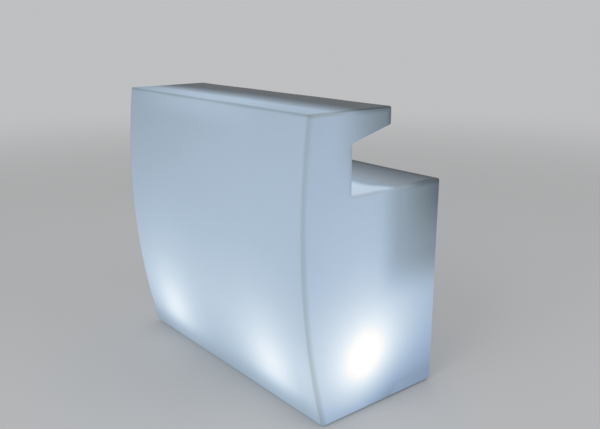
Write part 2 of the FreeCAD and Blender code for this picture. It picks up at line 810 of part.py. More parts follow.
def cable_glands():
    """Two glands in the back box's rear wall."""
    solids = []
    for side in SIDES.values():
        start = V(side * gland_x, box_back_y, gland_z)
        reach = back_box_wall + gland_thread_reach
        length = gland_hex_length + gland_dome_length
        dome = rod(gland_dome_radius, start, length, -AXIS_Y)
        tip = [edge for edge in dome.Edges if isinstance(edge.Curve, Part.Circle)
               and edge.Curve.Center.y < box_back_y - gland_hex_length]
        dome = dome.makeFillet(gland_dome_radius / 4, tip)
        solid = dome.fuse([hexagon(gland_hex_corners, start, gland_hex_length, -AXIS_Y),
                           rod(gland_thread_radius, start, reach, AXIS_Y)]).removeSplitter()
        solids.append(solid.cut(rod(cable_radius + cable_clearance,
                                    start - AXIS_Y * length, length + reach, AXIS_Y)))
    return Part.makeCompound(solids)


def cable_points(side):
    """One lamp cable's route: from its gland down to the floor, along it and up the lamp."""
    start = V(side * gland_x, box_back_y, gland_z)
    end = V(side * lamp_x, lamp_y, cable_z)
    points = [start + AXIS_Y * cable_in_box, start - AXIS_Y * cable_first_run]
    for share_x, share_y, share_z in cable_route_shares:
        points.append(V(start.x + share_x * (end.x - start.x),
                        start.y + share_y * (end.y - start.y),
                        end.z + share_z * (start.z - end.z)))
    points.append(end + AXIS_Y * cable_rise_run)
    points.append(end + AXIS_Z * cable_rise_run)
    points.append(V(end.x, end.y, holder_z + cable_end_height))
    return points


def tube_along(points, radius, name):
    """A round tube on straight runs joined by tangent arcs, as large as the runs allow."""
    edges = []
    radii = []
    length = 0.0
    last = points[0]
    for before, here, after in zip(points, points[1:], points[2:]):
        into = here - before
        out = after - here
        reach = cable_arc_share * min(into.Length, out.Length)
        half_turn = into.getAngle(out) / 2
        arc_start = here - into.normalize() * reach
        arc_end = here + out.normalize() * reach
        bend = reach / math.tan(half_turn)
        towards = (arc_start + arc_end) * 0.5 - here
        depth = bend / math.cos(half_turn) - bend
        middle = here + towards.normalize() * depth
        edges.append(Part.makeLine(last, arc_start))
        edges.append(Part.Arc(arc_start, middle, arc_end).toShape())
        radii.append(bend)
        last = arc_end
    edges.append(Part.makeLine(last, points[-1]))
    path = Part.Wire(edges)
    for edge in edges:
        length += edge.Length
    ring = Part.Wire(Part.makeCircle(radius, points[0], points[1] - points[0]))
    tube = path.makePipeShell([ring], True, False)
    tube = tube if tube.ShapeType == "Solid" else Part.Solid(tube.Shells[0])
    expected = math.pi * radius ** 2 * length
    print(name, "length", round(length, 1), "least radius", round(min(radii), 1),
          "volume over section times length", round(tube.Volume / expected, 4))
    return tube


def cable_clips():
    """Clips on the floor that hold the first level runs, each square to its run."""
    solids = []
    for side in SIDES.values():
        points = cable_points(side)
        level = [(a, b) for a, b in zip(points, points[1:])
                 if max(a.z, b.z) < cable_z + cable_clearance]
        for a, b in level[:clip_count]:
            middle = (a + b) * 0.5
            body = block(-clip_length / 2, clip_length / 2, -clip_width / 2, clip_width / 2,
                         floor_z, cable_z + cable_radius + clip_cap)
            pad = block(-clip_pad_length / 2, clip_pad_length / 2, -clip_pad_width / 2,
                        clip_pad_width / 2, floor_z, floor_z + clip_pad_thickness)
            hole = rod(cable_radius + cable_clearance, V(-clip_length, 0, cable_z),
                       2 * clip_length, AXIS_X)
            solid = body.fuse(pad).removeSplitter().cut(hole)
            solid.rotate(V(0, 0, 0), AXIS_Z, math.degrees(math.atan2(b.y - a.y, b.x - a.x)))
            solid.translate(V(middle.x, middle.y, 0))
            solids.append(solid)
    return Part.makeCompound(solids)


def main():
    """Makes every piece and writes one file for each."""
    nodes = {
        "body_shell": body_shell(),
        "hatch_screws": Part.makeCompound(
            [screw(V(x, y, base_z), AXIS_Z, screw_length)
             for side in SIDES.values() for x, y in hatch_places(side)]),
        "hatch_inserts": Part.makeCompound(
            [threaded_insert(V(x, y, pocket_z), AXIS_Z)
             for side in SIDES.values() for x, y in hatch_places(side)]),
        "bracket_screws": bracket_screws(),
        "foot_inserts": foot_inserts(),
        "panel_plate": panel_plate(),
        "panel_gasket": panel_gasket(),
        "panel_screws": Part.makeCompound(
            [screw(V(x, panel_front_y, z), -AXIS_Y, screw_length)
             for x, z in panel_places()]),
        "panel_inserts": Part.makeCompound(
            [threaded_insert(V(x, recess_y, z), -AXIS_Y) for x, z in panel_places()]),
        "inlet_housing": inlet_housing(),
        "inlet_pins": inlet_pins(),
        "inlet_flap": inlet_flap(),
        "flap_hinge_pin": flap_hinge_pin(),
        "switch_housing": switch_housing(),
        "switch_rocker": switch_rocker(),
        "back_box": back_box(),
        "back_box_screws": Part.makeCompound(
            [screw(V(x, panel_front_y, z), -AXIS_Y, back_box_screw_length)
             for x, z in back_box_places()]),
        "terminal_block": terminal_block(),
        "cable_glands": cable_glands(),
        "cable_clips": cable_clips(),
    }
    for name, side in SIDES.items():
        nodes["hatch_cover_" + name] = hatch_cover(side)
        nodes["hatch_gasket_" + name] = hatch_gasket(side)
        nodes["lamp_bracket_" + name] = lamp_bracket(side)
        nodes["lampholder_" + name] = lampholder(side)
        nodes["holder_nut_" + name] = holder_nut(side)
        nodes["bulb_cap_" + name] = bulb_cap(side)
        nodes["bulb_globe_" + name] = bulb_globe(side)
        cable = "lamp_cable_" + name
        nodes[cable] = tube_along(cable_points(side), cable_radius, cable)
    for name, place in FEET.items():
        nodes["foot_pad_" + name] = foot_pad(place)
        nodes["foot_stem_" + name] = foot_stem(place)
    os.makedirs("parts", exist_ok=True)
    for name, shape in nodes.items():
        shape.exportStep("parts/" + name + ".step")


main()
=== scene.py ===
"""Looks of the illuminated bar counter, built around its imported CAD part.

Metres, in the part's own frame: +X along the counter to the customer's right, the customer's
side faces -Y, +Z is up, and the origin is on the ground in the middle of the footprint.
"""
import math

import bpy
import numpy as np
from mathutils import Matrix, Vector
from mathutils.geometry import delaunay_2d_cdt

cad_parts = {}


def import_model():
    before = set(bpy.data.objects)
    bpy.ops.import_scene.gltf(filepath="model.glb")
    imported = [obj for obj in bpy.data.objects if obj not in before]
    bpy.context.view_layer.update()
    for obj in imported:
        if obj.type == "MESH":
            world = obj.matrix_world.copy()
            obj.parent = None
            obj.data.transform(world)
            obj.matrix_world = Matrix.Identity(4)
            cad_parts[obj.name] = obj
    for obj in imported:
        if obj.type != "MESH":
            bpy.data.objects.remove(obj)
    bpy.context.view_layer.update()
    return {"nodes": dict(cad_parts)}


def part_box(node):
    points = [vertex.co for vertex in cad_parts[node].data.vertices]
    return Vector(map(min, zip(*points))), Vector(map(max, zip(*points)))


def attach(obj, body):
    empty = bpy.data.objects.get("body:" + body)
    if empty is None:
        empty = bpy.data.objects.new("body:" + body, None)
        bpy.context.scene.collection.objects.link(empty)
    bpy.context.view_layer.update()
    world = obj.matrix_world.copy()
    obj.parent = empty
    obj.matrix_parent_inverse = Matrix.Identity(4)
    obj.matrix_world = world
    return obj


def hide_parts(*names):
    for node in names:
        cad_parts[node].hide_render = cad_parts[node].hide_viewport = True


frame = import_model()

MM = 0.001


def centre_of(node, *axes):
    """The middle of a CAD node's box along the given axes."""
    low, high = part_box(node)
    return tuple((low[k] + high[k]) / 2 for k in axes)


def half_of(node, *axes, gap=0.0):
    """Half of a CAD node's size along the given axes, with a gap round it."""
    low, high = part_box(node)
    return tuple((high[k] - low[k]) / 2 + gap for k in axes)


# The body, outside
HALF_LENGTH = 600 * MM
FRONT_Y, REAR_Y = -328.5 * MM, 328.5 * MM
BASE_Z, TOP_Z = 8 * MM, 1108 * MM
FRONT_RADIUS = 2730 * MM
ARC_Y, ARC_Z = FRONT_Y + FRONT_RADIUS, 716 * MM
TOP_DEPTH = 362 * MM
WORKTOP_Z = 823 * MM
NOTCH_Y = -114.5 * MM
LIP_HEIGHT = 63 * MM
UNDERSIDE_DROP = 47.5 * MM
CORNER_RADIUS = 8 * MM
RIM_RADIUS = 7 * MM
WALL = 6 * MM

# The turns at which the section is repeated round an end's rim, in degrees, and the fine ridge
# of the mould's parting line: how far from 45 degrees it reaches, and its height there
RIM_TURNS = np.array([0, 11, 22, 32, 40, 43.5, 45, 46.5, 50, 58, 68, 79, 90.0])
PARTING_RIDGE = 0.35 * MM
RIDGE_REACH, RIDGE_SHARE = (0, 1.5, 3), (1, 0.7, 0)

# The moulding's gentle waves: depth, lengths along x, y and z, where they begin and are whole
WAVE_DEPTH = 0.35 * MM
WAVE_LENGTHS = (430 * MM, 370 * MM, 520 * MM)
WAVE_START, WAVE_WHOLE = 60 * MM, 300 * MM
WAVE_SHIFT_ACROSS, WAVE_SHIFT_UP = 0.4, 0.9

# What is sunk into it: middle, half size, corner radius, depth, and its rim's and back's rounding
NICHE = dict(centre=(0, 636.5 * MM), half=(552 * MM, 143 * MM), corner=26 * MM,
             depth=276 * MM, rim=7 * MM, back=20 * MM)
RECESS = dict(centre=centre_of("panel_plate", 0, 2), half=half_of("panel_plate", 0, 2, gap=5 * MM),
              corner=10 * MM, depth=26 * MM, rim=1.5 * MM, back=1.5 * MM)
RECESS_HOLE = dict(half=(70 * MM, 39 * MM), corner=6 * MM)
SIDES = ("left", "right")
POCKET_RADIUS = half_of("hatch_cover_left", 0, gap=1 * MM)[0]
POCKETS = [dict(centre=centre_of("hatch_cover_" + side, 0, 1), half=(POCKET_RADIUS,) * 2,
                corner=POCKET_RADIUS, depth=6 * MM, rim=1.5 * MM, back=1 * MM) for side in SIDES]
POCKET_HOLE = dict(half=(95 * MM,) * 2, corner=95 * MM)
FOOT_NAMES = ("front_left", "front_right", "rear_left", "rear_right")
FEET = [centre_of("foot_pad_" + name, 0, 1) for name in FOOT_NAMES]
FOOT_HOLE = dict(half=(9.1 * MM,) * 2, corner=9.1 * MM)

# How fine the mesh is: the longest straight step, the steps in a corner, the lattice in a flat
# face with its clearance from the loops, and the distance at which points count as one
STEP = 24 * MM
ROUND_STEPS = 8
LATTICE_STEP, LATTICE_CLEAR = 1.5 * STEP, 0.45
SAME_POINT = 1e-7


# Shapes

def front_at(z, inset=0.0):
    """The bowed front's y at height z: a circle whose radius is less by the inset."""
    return ARC_Y - math.sqrt((FRONT_RADIUS - inset) ** 2 - (z - ARC_Z) ** 2)


TOP_FRONT_Y = front_at(TOP_Z)
LIP_Y = TOP_FRONT_Y + TOP_DEPTH
UNDERSIDE_SLOPE = UNDERSIDE_DROP / (LIP_Y - NOTCH_Y)


def underside_at(y):
    """The height of the overhang's sloping underside at y."""
    return TOP_Z - LIP_HEIGHT - UNDERSIDE_DROP + (y - NOTCH_Y) * UNDERSIDE_SLOPE


def unit(angle):
    """The unit vectors of angles in degrees, from +y towards +z."""
    angle = np.radians(angle)
    return np.stack([np.cos(angle), np.sin(angle)], -1)


def between(first, last, step):
    """Evenly spaced shares from 0 to 1 for a run, its ends left out, no longer than a step."""
    length = float(np.hypot(*(np.asarray(last) - first)))
    return np.linspace(0, 1, max(2, math.ceil(length / step) + 1))[1:-1, None]


def section():
    """The counter's outline in y and z, anticlockwise from +X, with normals and part numbers.

    Each corner is an arc, centre plus radius times the unit vector of an angle (minus it at
    the two hollow corners), the front is one long arc, and straight runs join them. Arcs have
    even part numbers and straight runs have odd ones.
    """
    r = CORNER_RADIUS
    lean = math.degrees(math.atan(UNDERSIDE_SLOPE))
    lift = r * math.hypot(1, UNDERSIDE_SLOPE)
    low = (front_at(BASE_Z + r, r), BASE_Z + r)
    high = (front_at(TOP_Z - r, r), TOP_Z - r)
    low_angle, high_angle = (
        math.degrees(math.atan2(c[1] - ARC_Z, c[0] - ARC_Y)) % 360 for c in (low, high))
    arcs = [
        (low, r, low_angle, 270),
        ((REAR_Y - r, BASE_Z + r), r, 270, 360),
        ((REAR_Y - r, WORKTOP_Z - r), r, 0, 90),
        ((NOTCH_Y + r, WORKTOP_Z + r), -r, 90, 0),
        ((NOTCH_Y + r, underside_at(NOTCH_Y + r) - lift), -r, 0, lean - 90),
        ((LIP_Y - r, underside_at(LIP_Y - r) + lift), r, lean - 90, 0),
        ((LIP_Y - r, TOP_Z - r), r, 0, 90),
        (high, r, 90, high_angle),
        ((ARC_Y, ARC_Z), FRONT_RADIUS, high_angle, low_angle),
    ]
    points, normals, parts = [], [], []
    for k, (centre, radius, first, last) in enumerate(arcs):
        long_arc = k == len(arcs) - 1
        steps = math.ceil(math.radians(last - first) * radius / STEP) if long_arc else ROUND_STEPS
        share = np.linspace(0, 1, steps + 1)
        if long_arc:
            share = share[1:-1]
        normal = unit(first + (last - first) * share)
        points.append(np.array(centre) + radius * normal)
        normals.append(normal)
        parts.append(np.full(len(share), 2 * k))
        if k < len(arcs) - 2:
            centre, radius, first = arcs[k + 1][:3]
            start, end = points[-1][-1], np.array(centre) + radius * unit(first)
            share = between(start, end, STEP)
            points.append(start + (end - start) * share)
            normals.append(np.repeat(normal[-1:], len(share), 0))
            parts.append(np.full(len(share), 2 * k + 1))
    return [np.concatenate(a) for a in (points, normals, parts)]


BASE_RUN, REAR_RUN = 1, 3


def rounded_loop(half, corner, centre=(0, 0), grow=0.0):
    """A rectangle with round corners, anticlockwise, grown outwards, and its normals.

    Each corner is its centre plus the radius times the unit vector over a quarter turn, and
    straight runs join them. With half sizes equal to the corner radius it is a circle.
    """
    inner = np.array(half) - corner
    steps = max(ROUND_STEPS, math.ceil(corner * math.pi / 2 / (STEP / 3)))
    points, normals = [], []
    for k, sign in enumerate(((1, 1), (-1, 1), (-1, -1), (1, -1))):
        normal = unit(90 * k + np.linspace(0, 90, steps + 1))
        points.append(inner * sign + (corner + grow) * normal)
        normals.append(normal)
    out, turned = [], []
    for k in range(4):
        out.append(points[k])
        turned.append(normals[k])
        start, end = points[k][-1], points[(k + 1) % 4][0]
        if np.hypot(*(end - start)) > corner / 100:
            share = between(start, end, STEP)
            out.append(start + (end - start) * share)
            turned.append(np.repeat(normals[k][-1:], len(share), 0))
        else:
            out[-1], turned[-1] = points[k][:-1], normals[k][:-1]
    return np.concatenate(out) + centre, np.concatenate(turned)


def pocket_profile(depth, rim, back, wall_steps):
    """How a pocket's wall runs inwards: inset, depth, and its normal's lean to the opening.

    A quarter turn round the rim, the straight wall, then a quarter turn into the back.
    """
    turn = np.radians(np.linspace(0, 90, ROUND_STEPS + 1))
    inset = [-rim * (1 - np.sin(turn))]
    deep = [rim * (1 - np.cos(turn))]
    lean = [np.cos(turn)]
    run = np.linspace(rim, depth - back, wall_steps + 2)[1:-1]
    inset.append(np.zeros(len(run)))
    deep.append(run)
    lean.append(np.zeros(len(run)))
    inset.append(back * (1 - np.cos(turn)))
    deep.append(depth - back + back * np.sin(turn))
    lean.append(np.sin(turn))
    return [np.concatenate(a) for a in (inset, deep, lean)]


def inside(points, loop):
    """Whether points lie in a loop: a ray along +x crosses its sides an odd number of times."""
    a, b = loop, np.roll(loop, -1, 0)
    y = points[:, 1, None]
    spans = (a[:, 1] > y) != (b[:, 1] > y)
    rise = np.where(b[:, 1] == a[:, 1], 1.0, b[:, 1] - a[:, 1])
    x = a[:, 0] + (y - a[:, 1]) / rise * (b[:, 0] - a[:, 0])
    return (spans & (points[:, 0, None] < x)).sum(1) % 2 == 1


class Skin:
    """Points, outward normals and faces of one moulded surface."""

    def __init__(self):
        self.points = np.zeros((0, 3))
        self.normals = np.zeros((0, 3))
        self.faces = []

    def add(self, points, normals):
        """Adds points of any array shape and returns their numbers in that shape."""
        first = len(self.points)
        self.points = np.concatenate([self.points, points.reshape(-1, 3)])
        self.normals = np.concatenate(
            [self.normals, np.broadcast_to(normals, points.shape).reshape(-1, 3)])
        return np.arange(first, len(self.points)).reshape(points.shape[:-1])

    def quads(self, grid, turned, keep=None):
        """Joins a grid of point numbers with four-sided faces, closed into rings."""
        grid = np.concatenate([grid, grid[:, :1]], 1)
        faces = np.stack([grid[:-1, :-1], grid[:-1, 1:], grid[1:, 1:], grid[1:, :-1]], -1)
        faces = faces.reshape(-1, 4) if keep is None else faces[keep]
        self.faces.append(faces[:, ::-1] if turned else faces)

    def sheet(self, loops, place, normal, turned):
        """Fills a flat face between an outer loop and its holes with triangles.

        The loops are given as point numbers and 2-D points. A square lattice of new points,
        kept clear of the loops, lets the face carry the moulding's gentle waves.
        """
        flat = np.concatenate([loop for _, loop in loops])
        low, high = flat.min(0), flat.max(0)
        axes = [np.arange(low[k] + LATTICE_STEP / 2, high[k], LATTICE_STEP) for k in (0, 1)]
        lattice = np.stack(np.meshgrid(*axes, indexing="ij"), -1).reshape(-1, 2)
        lattice = lattice[inside(lattice, loops[0][1])]
        for _, loop in loops[1:]:
            lattice = lattice[~inside(lattice, loop)]
        away = np.hypot(*(lattice[:, None] - flat[None]).transpose(2, 0, 1)).min(1)
        lattice = lattice[away > LATTICE_STEP * LATTICE_CLEAR]
        numbers = np.concatenate([number for number, _ in loops]
                                 + [self.add(place(lattice), normal)])
        edges, start = [], 0
        for _, loop in loops:
            ring = np.arange(start, start + len(loop))
            edges.extend(np.stack([ring, np.roll(ring, -1)], 1).tolist())
            start += len(loop)
        flat = np.concatenate([flat, lattice])
        result = delaunay_2d_cdt(flat.tolist(), edges, [], 1, SAME_POINT)
        faces = np.array([ids[0] for ids in result[3]])[np.array(result[2])]
        for _, loop in loops[1:]:
            faces = faces[~inside(flat[faces].mean(1), loop)]
        faces = numbers[faces]
        self.faces.append(faces[:, ::-1] if turned else faces)

    def pocket(self, sizes, place, out, grow, hole=None):
        """A pocket sunk into a flat face: its rounded loop carried along the pocket's profile.

        Every ring is the loop moved in along its normals by the profile's inset, set down at
        the profile's depth. Returns the ring in the flat face, and the hole's ring if any.
        """
        centre, depth, turned = sizes["centre"], sizes["depth"], grow == 0
        rim = max(sizes["rim"] - grow, MM)
        back = min(sizes["back"] + grow, (depth - rim) * 0.9)
        loop, normal = rounded_loop(sizes["half"], sizes["corner"], centre, grow)
        steps = max(0, math.ceil((depth - rim - back) / STEP) - 1)
        inset, deep, lean = pocket_profile(depth, rim, back, steps)
        flat = loop[None] - inset[:, None, None] * normal[None]
        side = np.sqrt(1 - lean ** 2)[:, None, None] * -place(normal, None)
        rings = self.add(place(flat, deep[:, None] + grow), side + lean[:, None, None] * out)
        self.quads(rings, turned)
        loops = [(rings[-1], flat[-1])]
        opening = None
        if hole:
            cut, _ = rounded_loop(hole["half"], hole["corner"], centre)
            opening = self.add(place(cut, np.full(len(cut), depth + grow)), out)
            loops.append((opening[::-1], cut[::-1]))
        self.sheet(loops, lambda p: place(p, np.full(len(p), depth + grow)), out, turned)
        return (rings[0][::-1], flat[0][::-1]), opening

    def hem(self, outer, inner):
        """The wall's cut edge round an opening, between its outer and its inner ring."""
        a, b = self.points[outer], self.points[inner]
        run = np.roll(a, -1, 0) - np.roll(a, 1, 0)
        normal = np.cross(run, b - a)
        normal /= np.linalg.norm(normal, axis=1)[:, None]
        inwards = a.mean(0) - a
        flip = np.sign((normal * inwards).sum(1).mean())
        ring = self.add(np.stack([a, b]), normal * flip)
        self.quads(ring, turned=flip < 0)

    def mesh(self, name):
        """The finished mesh object, smooth, with its own normals."""
        used = np.unique(np.concatenate([group.ravel() for group in self.faces]))
        faces = sum((np.searchsorted(used, group).tolist() for group in self.faces), [])
        data = bpy.data.meshes.new(name)
        data.from_pydata(self.points[used].tolist(), [], faces)
        data.polygons.foreach_set("use_smooth", np.ones(len(faces), bool))
        data.normals_split_custom_set_from_vertices(self.normals[used].tolist())
        made = bpy.data.objects.new(name, data)
        bpy.context.scene.collection.objects.link(made)
        return made


def rim_stations(parting_ridge):
    """Where the section is repeated along X: its place, its inset and its normal's lean.

    At each end the section shrinks over a quarter turn of the rim radius. The mould's parting
    line is a fine ridge halfway round that turn, outside.
    """
    ridge = np.interp(np.abs(RIM_TURNS - 45), RIDGE_REACH, RIDGE_SHARE) * parting_ridge
    angle = np.radians(RIM_TURNS)
    reach = RIM_RADIUS + ridge
    x = HALF_LENGTH - RIM_RADIUS + reach * np.sin(angle)
    inset = RIM_RADIUS - reach * np.cos(angle)
    flat = np.linspace(-x[0], x[0], math.ceil(2 * x[0] / STEP) + 1)[1:-1]
    zero = np.zeros(len(flat))
    return (np.concatenate([-x[::-1], flat, x]),
            np.concatenate([inset[::-1], zero, inset]),
            np.concatenate([-np.sin(angle[::-1]), zero, np.sin(angle)]), len(RIM_TURNS))


def waves(points, normals):
    """The moulding's gentle waves: how far each point sinks, and the normals that result.

    The depth is a product of two sines of the position, from nothing near the ground to its
    full height above. A normal leans against the depth's slope along the surface.
    """
    pitch = 2 * math.pi / np.array(WAVE_LENGTHS)
    rise = np.clip((points[:, 2] - WAVE_START) / (WAVE_WHOLE - WAVE_START), 0, 1)
    rise = WAVE_DEPTH * rise ** 2 * (3 - 2 * rise)
    across = points[:, :2] @ pitch[:2] + WAVE_SHIFT_ACROSS
    up = points[:, 2] * pitch[2] + WAVE_SHIFT_UP
    wave = np.sin(across) * np.sin(up)
    slope = pitch * np.stack([np.cos(across) * np.sin(up)] * 2
                             + [np.sin(across) * np.cos(up)], 1) * rise[:, None]
    leaned = normals + slope - (slope * normals).sum(1)[:, None] * normals
    return (points - normals * (rise * (1 + wave))[:, None],
            leaned / np.linalg.norm(leaned, axis=1)[:, None])


def on_face(axis, level, inward, inset):
    """A function that sets 2-D points down on a flat face across an axis.

    The third coordinate is the face's level, moved inwards by a depth, or by the inset where
    none is given. With no depth at all (None) it turns a direction instead.
    """
    def place(p, deep=inset):
        third = np.broadcast_to(0.0 if deep is None else level + inward * deep, p.shape[:-1])
        return np.insert(p, axis, third, -1)
    return place


def body_side(skin, inward):
    """One side of the moulding's wall: the outside, or the inside a wall's thickness in.

    The section is carried along X, its ends are closed with flat sheets, and the service
    side and the base are sheets with the niche, the recess and the hatch pockets sunk in.
    """
    grow = WALL if inward else 0.0
    outline, outline_normal, parts = section()
    x, inset, lean, rim_count = rim_stations(0.0 if inward else PARTING_RIDGE)
    side = np.sqrt(1 - lean ** 2)
    moved = outline[None] - (inset + grow * side)[:, None, None] * outline_normal[None]
    points = np.concatenate(
        [np.broadcast_to((x - grow * lean)[:, None, None], moved.shape[:2] + (1,)), moved], -1)
    normals = np.concatenate(
        [np.broadcast_to(lean[:, None, None], moved.shape[:2] + (1,)),
         side[:, None, None] * outline_normal[None]], -1)
    grid = skin.add(points, normals)

    count = len(outline)
    open_run = (parts == BASE_RUN) | (parts == REAR_RUN)
    cell_open = open_run | np.roll(open_run, -1)
    between_rims = np.zeros(len(x) - 1, bool)
    between_rims[rim_count - 1:len(x) - rim_count] = True
    skin.quads(grid, inward, ~(between_rims[:, None] & cell_open[None]))

    for end, sign in ((0, -1), (-1, 1)):
        ring = grid[end]
        flat = skin.points[ring][:, 1:]
        out = np.array([sign, 0.0, 0.0])
        at = x[end] - grow * lean[end]
        skin.sheet([(ring, flat)], on_face(0, at, 0, 0), out, inward != (sign < 0))

    def border(part, axes):
        """The loop of grid points round the open strip of one flat run of the section."""
        run = np.flatnonzero(parts == part)
        first, last = run[0] - 1, (run[-1] + 1) % count
        i0, i1 = rim_count - 1, len(x) - rim_count
        js = np.arange(first, first + len(run) + 2) % count
        numbers = np.concatenate([grid[i0:i1, first], grid[i1, js[:-1]],
                                  grid[i1:i0:-1, last], grid[i0, js[:0:-1]]])
        return numbers, skin.points[numbers][:, axes]

    rear = on_face(1, REAR_Y, -1, grow)
    back = np.array([0.0, 1.0, 0.0])
    niche, _ = skin.pocket(NICHE, rear, back, grow)
    recess, recess_hole = skin.pocket(RECESS, rear, back, grow, RECESS_HOLE)
    skin.sheet([border(REAR_RUN, [0, 2]), niche, recess], rear, back, not inward)

    base = on_face(2, BASE_Z, 1, grow)
    down = np.array([0.0, 0.0, -1.0])
    loops, openings = [border(BASE_RUN, [0, 1])], [recess_hole]
    for pocket in POCKETS:
        ring, hole = skin.pocket(pocket, base, down, grow, POCKET_HOLE)
        loops.append(ring)
        openings.append(hole)
    for foot in FEET:
        loop, _ = rounded_loop(FOOT_HOLE["half"], FOOT_HOLE["corner"], foot)
        ring = skin.add(base(loop), down)
        loops.append((ring[::-1], loop[::-1]))
        openings.append(ring)
    skin.sheet(loops, base, down, not inward)
    return openings


def moulded_body():
    """The hollow moulding: outside, inside, and the cut edges of its openings."""
    skin = Skin()
    outer = body_side(skin, inward=False)
    first = len(skin.points)
    inner = body_side(skin, inward=True)
    skin.points, skin.normals = waves(skin.points, skin.normals)
    skin.normals[first:] *= -1
    for a, b in zip(outer, inner):
        skin.hem(a, b)
    return skin.mesh("moulded_body")


# Materials

class Wire:
    """A shader socket that takes arithmetic: an expression on it adds the Math nodes."""

    def __init__(self, shader, socket):
        self.shader, self.socket = shader, socket

    def math(self, operation, *values):
        return self.shader.node("ShaderNodeMath", dict(operation=operation),
                                dict(enumerate(values)))

    def __add__(self, other):
        return self.math("ADD", self, other)

    def __sub__(self, other):
        return self.math("SUBTRACT", self, other)

    def __rsub__(self, other):
        return self.math("SUBTRACT", other, self)

    def __mul__(self, other):
        return self.math("MULTIPLY", self, other)

    def __truediv__(self, other):
        return self.math("DIVIDE", self, other)

    def __rtruediv__(self, other):
        return self.math("DIVIDE", other, self)

    def __pow__(self, other):
        return self.math("POWER", self, other)

    def __abs__(self):
        return self.math("ABSOLUTE", self)

    __radd__, __rmul__ = __add__, __mul__

    def least(self, other):
        """The larger of this and another value, so that it is at least that."""
        return self.math("MAXIMUM", self, other)

    def most(self, other):
        """The smaller of this and another value."""
        return self.math("MINIMUM", self, other)

    def sine(self):
        return self.math("SINE", self)

    def power_of_e(self):
        return self.math("EXPONENT", self)

    def rise(self, low, high, bottom=0.0, top=1.0):
        """A smooth step between two values, from the bottom to the top."""
        return self.shader.node("ShaderNodeMapRange", dict(interpolation_type="SMOOTHSTEP"),
                                {0: self, 1: low, 2: high, 3: bottom, 4: top})

    def fall(self, low, high):
        """A smooth step between two values, from 1 down to 0."""
        return self.rise(low, high, 1.0, 0.0)

    def share(self, low, high):
        """How far this is from the low value to the high one, from 0 to 1."""
        return self.shader.node("ShaderNodeMapRange", {}, {0: self, 1: low, 2: high})


class Shader:
    """A material and its nodes."""

    def __init__(self, name):
        self.material = bpy.data.materials.new(name)
        self.material.use_nodes = True
        self.tree = self.material.node_tree
        self.tree.nodes.clear()

    def node(self, kind, settings, sockets, output=0):
        """Adds a node: its settings first, then each socket's value or link."""
        node = self.tree.nodes.new(kind)
        for name, value in settings.items():
            setattr(node, name, value)
        for name, value in sockets.items():
            if isinstance(value, Wire):
                self.tree.links.new(value.socket, node.inputs[name])
            else:
                node.inputs[name].default_value = value
        return Wire(self, node.outputs[output]) if len(node.outputs) else None

    def place(self):
        """The point on the object, in its own coordinates."""
        return self.node("ShaderNodeTexCoord", {}, {}, "Object")

    def parts(self, vector):
        """A vector's three numbers."""
        split = self.node("ShaderNodeSeparateXYZ", {}, {0: vector})
        return [Wire(self, output) for output in split.socket.node.outputs]

    def vector(self, operation, a, b, output=0):
        return self.node("ShaderNodeVectorMath", dict(operation=operation), {0: a, 1: b}, output)

    def noise(self, scale, detail=2.0, stretch=(1, 1, 1)):
        """Cloudy noise from 0 to 1, with a size of about one over the scale in metres."""
        at = self.node("ShaderNodeMapping", {}, {"Vector": self.place(), "Scale": stretch})
        return self.node("ShaderNodeTexNoise", {},
                         {"Vector": at, "Scale": scale, "Detail": detail})

    def blend(self, share, a, b):
        """A mix of two colours."""
        return self.node("ShaderNodeMix", dict(data_type="RGBA"), {0: share, 6: a, 7: b}, 2)

    def bump(self, height, distance, strength=1.0):
        return self.node("ShaderNodeBump", {}, {"Height": height, "Distance": distance,
                                                "Strength": strength})

    def finish(self, sockets):
        """Closes the material with one surface shader that takes these sockets."""
        surface = self.node("ShaderNodeBsdfPrincipled", {}, sockets)
        self.node("ShaderNodeOutputMaterial", {}, {"Surface": surface})
        return self.material


def shade(colour, factor=1.0):
    return tuple(c * factor for c in colour) + (1.0,)


# The light on the skin, fitted to the photograph's brightness. Places are in metres, and a pair
# of places says where a change begins and where it is complete.

# What counts as an end, by its distance from the middle, and as a top or the lid, by its height
END_X, TOPS_Z, LID_Z = (0.56, 0.59), (0.6, 0.8), (0.9, 1.0)

# Each lamp's spot: the distance at which it has its gain, the powers of its turn and distance,
# how an end's spot leans back with height, and what the other faces lose of it low down
LAMP_POINTS = ((-0.36, -0.0286, 0.1881), (0.36, -0.0286, 0.1881))
LAMP_REACH = 0.25
SPOT_TURN, SPOT_FALL = 1.5, 3.5
SPOT_LEAN, SPOT_LEAN_FROM = 0.0742, 0.2
SPOT_LOW, SPOT_LOW_Z = 0.79, (0.03, 0.125)
SPREAD, SPREAD_FALL = 0.5766, 1.1324
FRONT_GAIN, END_GAIN, TOP_GAIN = 0.3312, 0.1585, 1.0782

# The even light, its change with height, and how much less of it the ends and the tops show
EVEN, EVEN_RISE, EVEN_LEVEL = 0.3882, -0.0520, 0.6
EVEN_END, EVEN_TOP = 0.1615, 0.6818

# The shade near the ground, most some way back, and the height below which the rear of an end
# gets no darker
GROUND_REACH, GROUND_POWER, GROUND_SHADE = 0.4451, 2.1850, 0.5563
GROUND_REAR, GROUND_REAR_Y = 0.6783, 0.24
END_LOW, END_LOW_Y = 0.058, (0.05, 0.15)

# How much lighter it is to the right: all over, high up, and low at the front's right edge
RIGHT_MORE = 0.0394
RIGHT_HIGH, RIGHT_HIGH_Z = 0.1430, (0.45, 1.0)
RIGHT_EDGE, RIGHT_EDGE_X, RIGHT_EDGE_Z = 0.09, (0.5, 0.58), (0.2, 0.35)

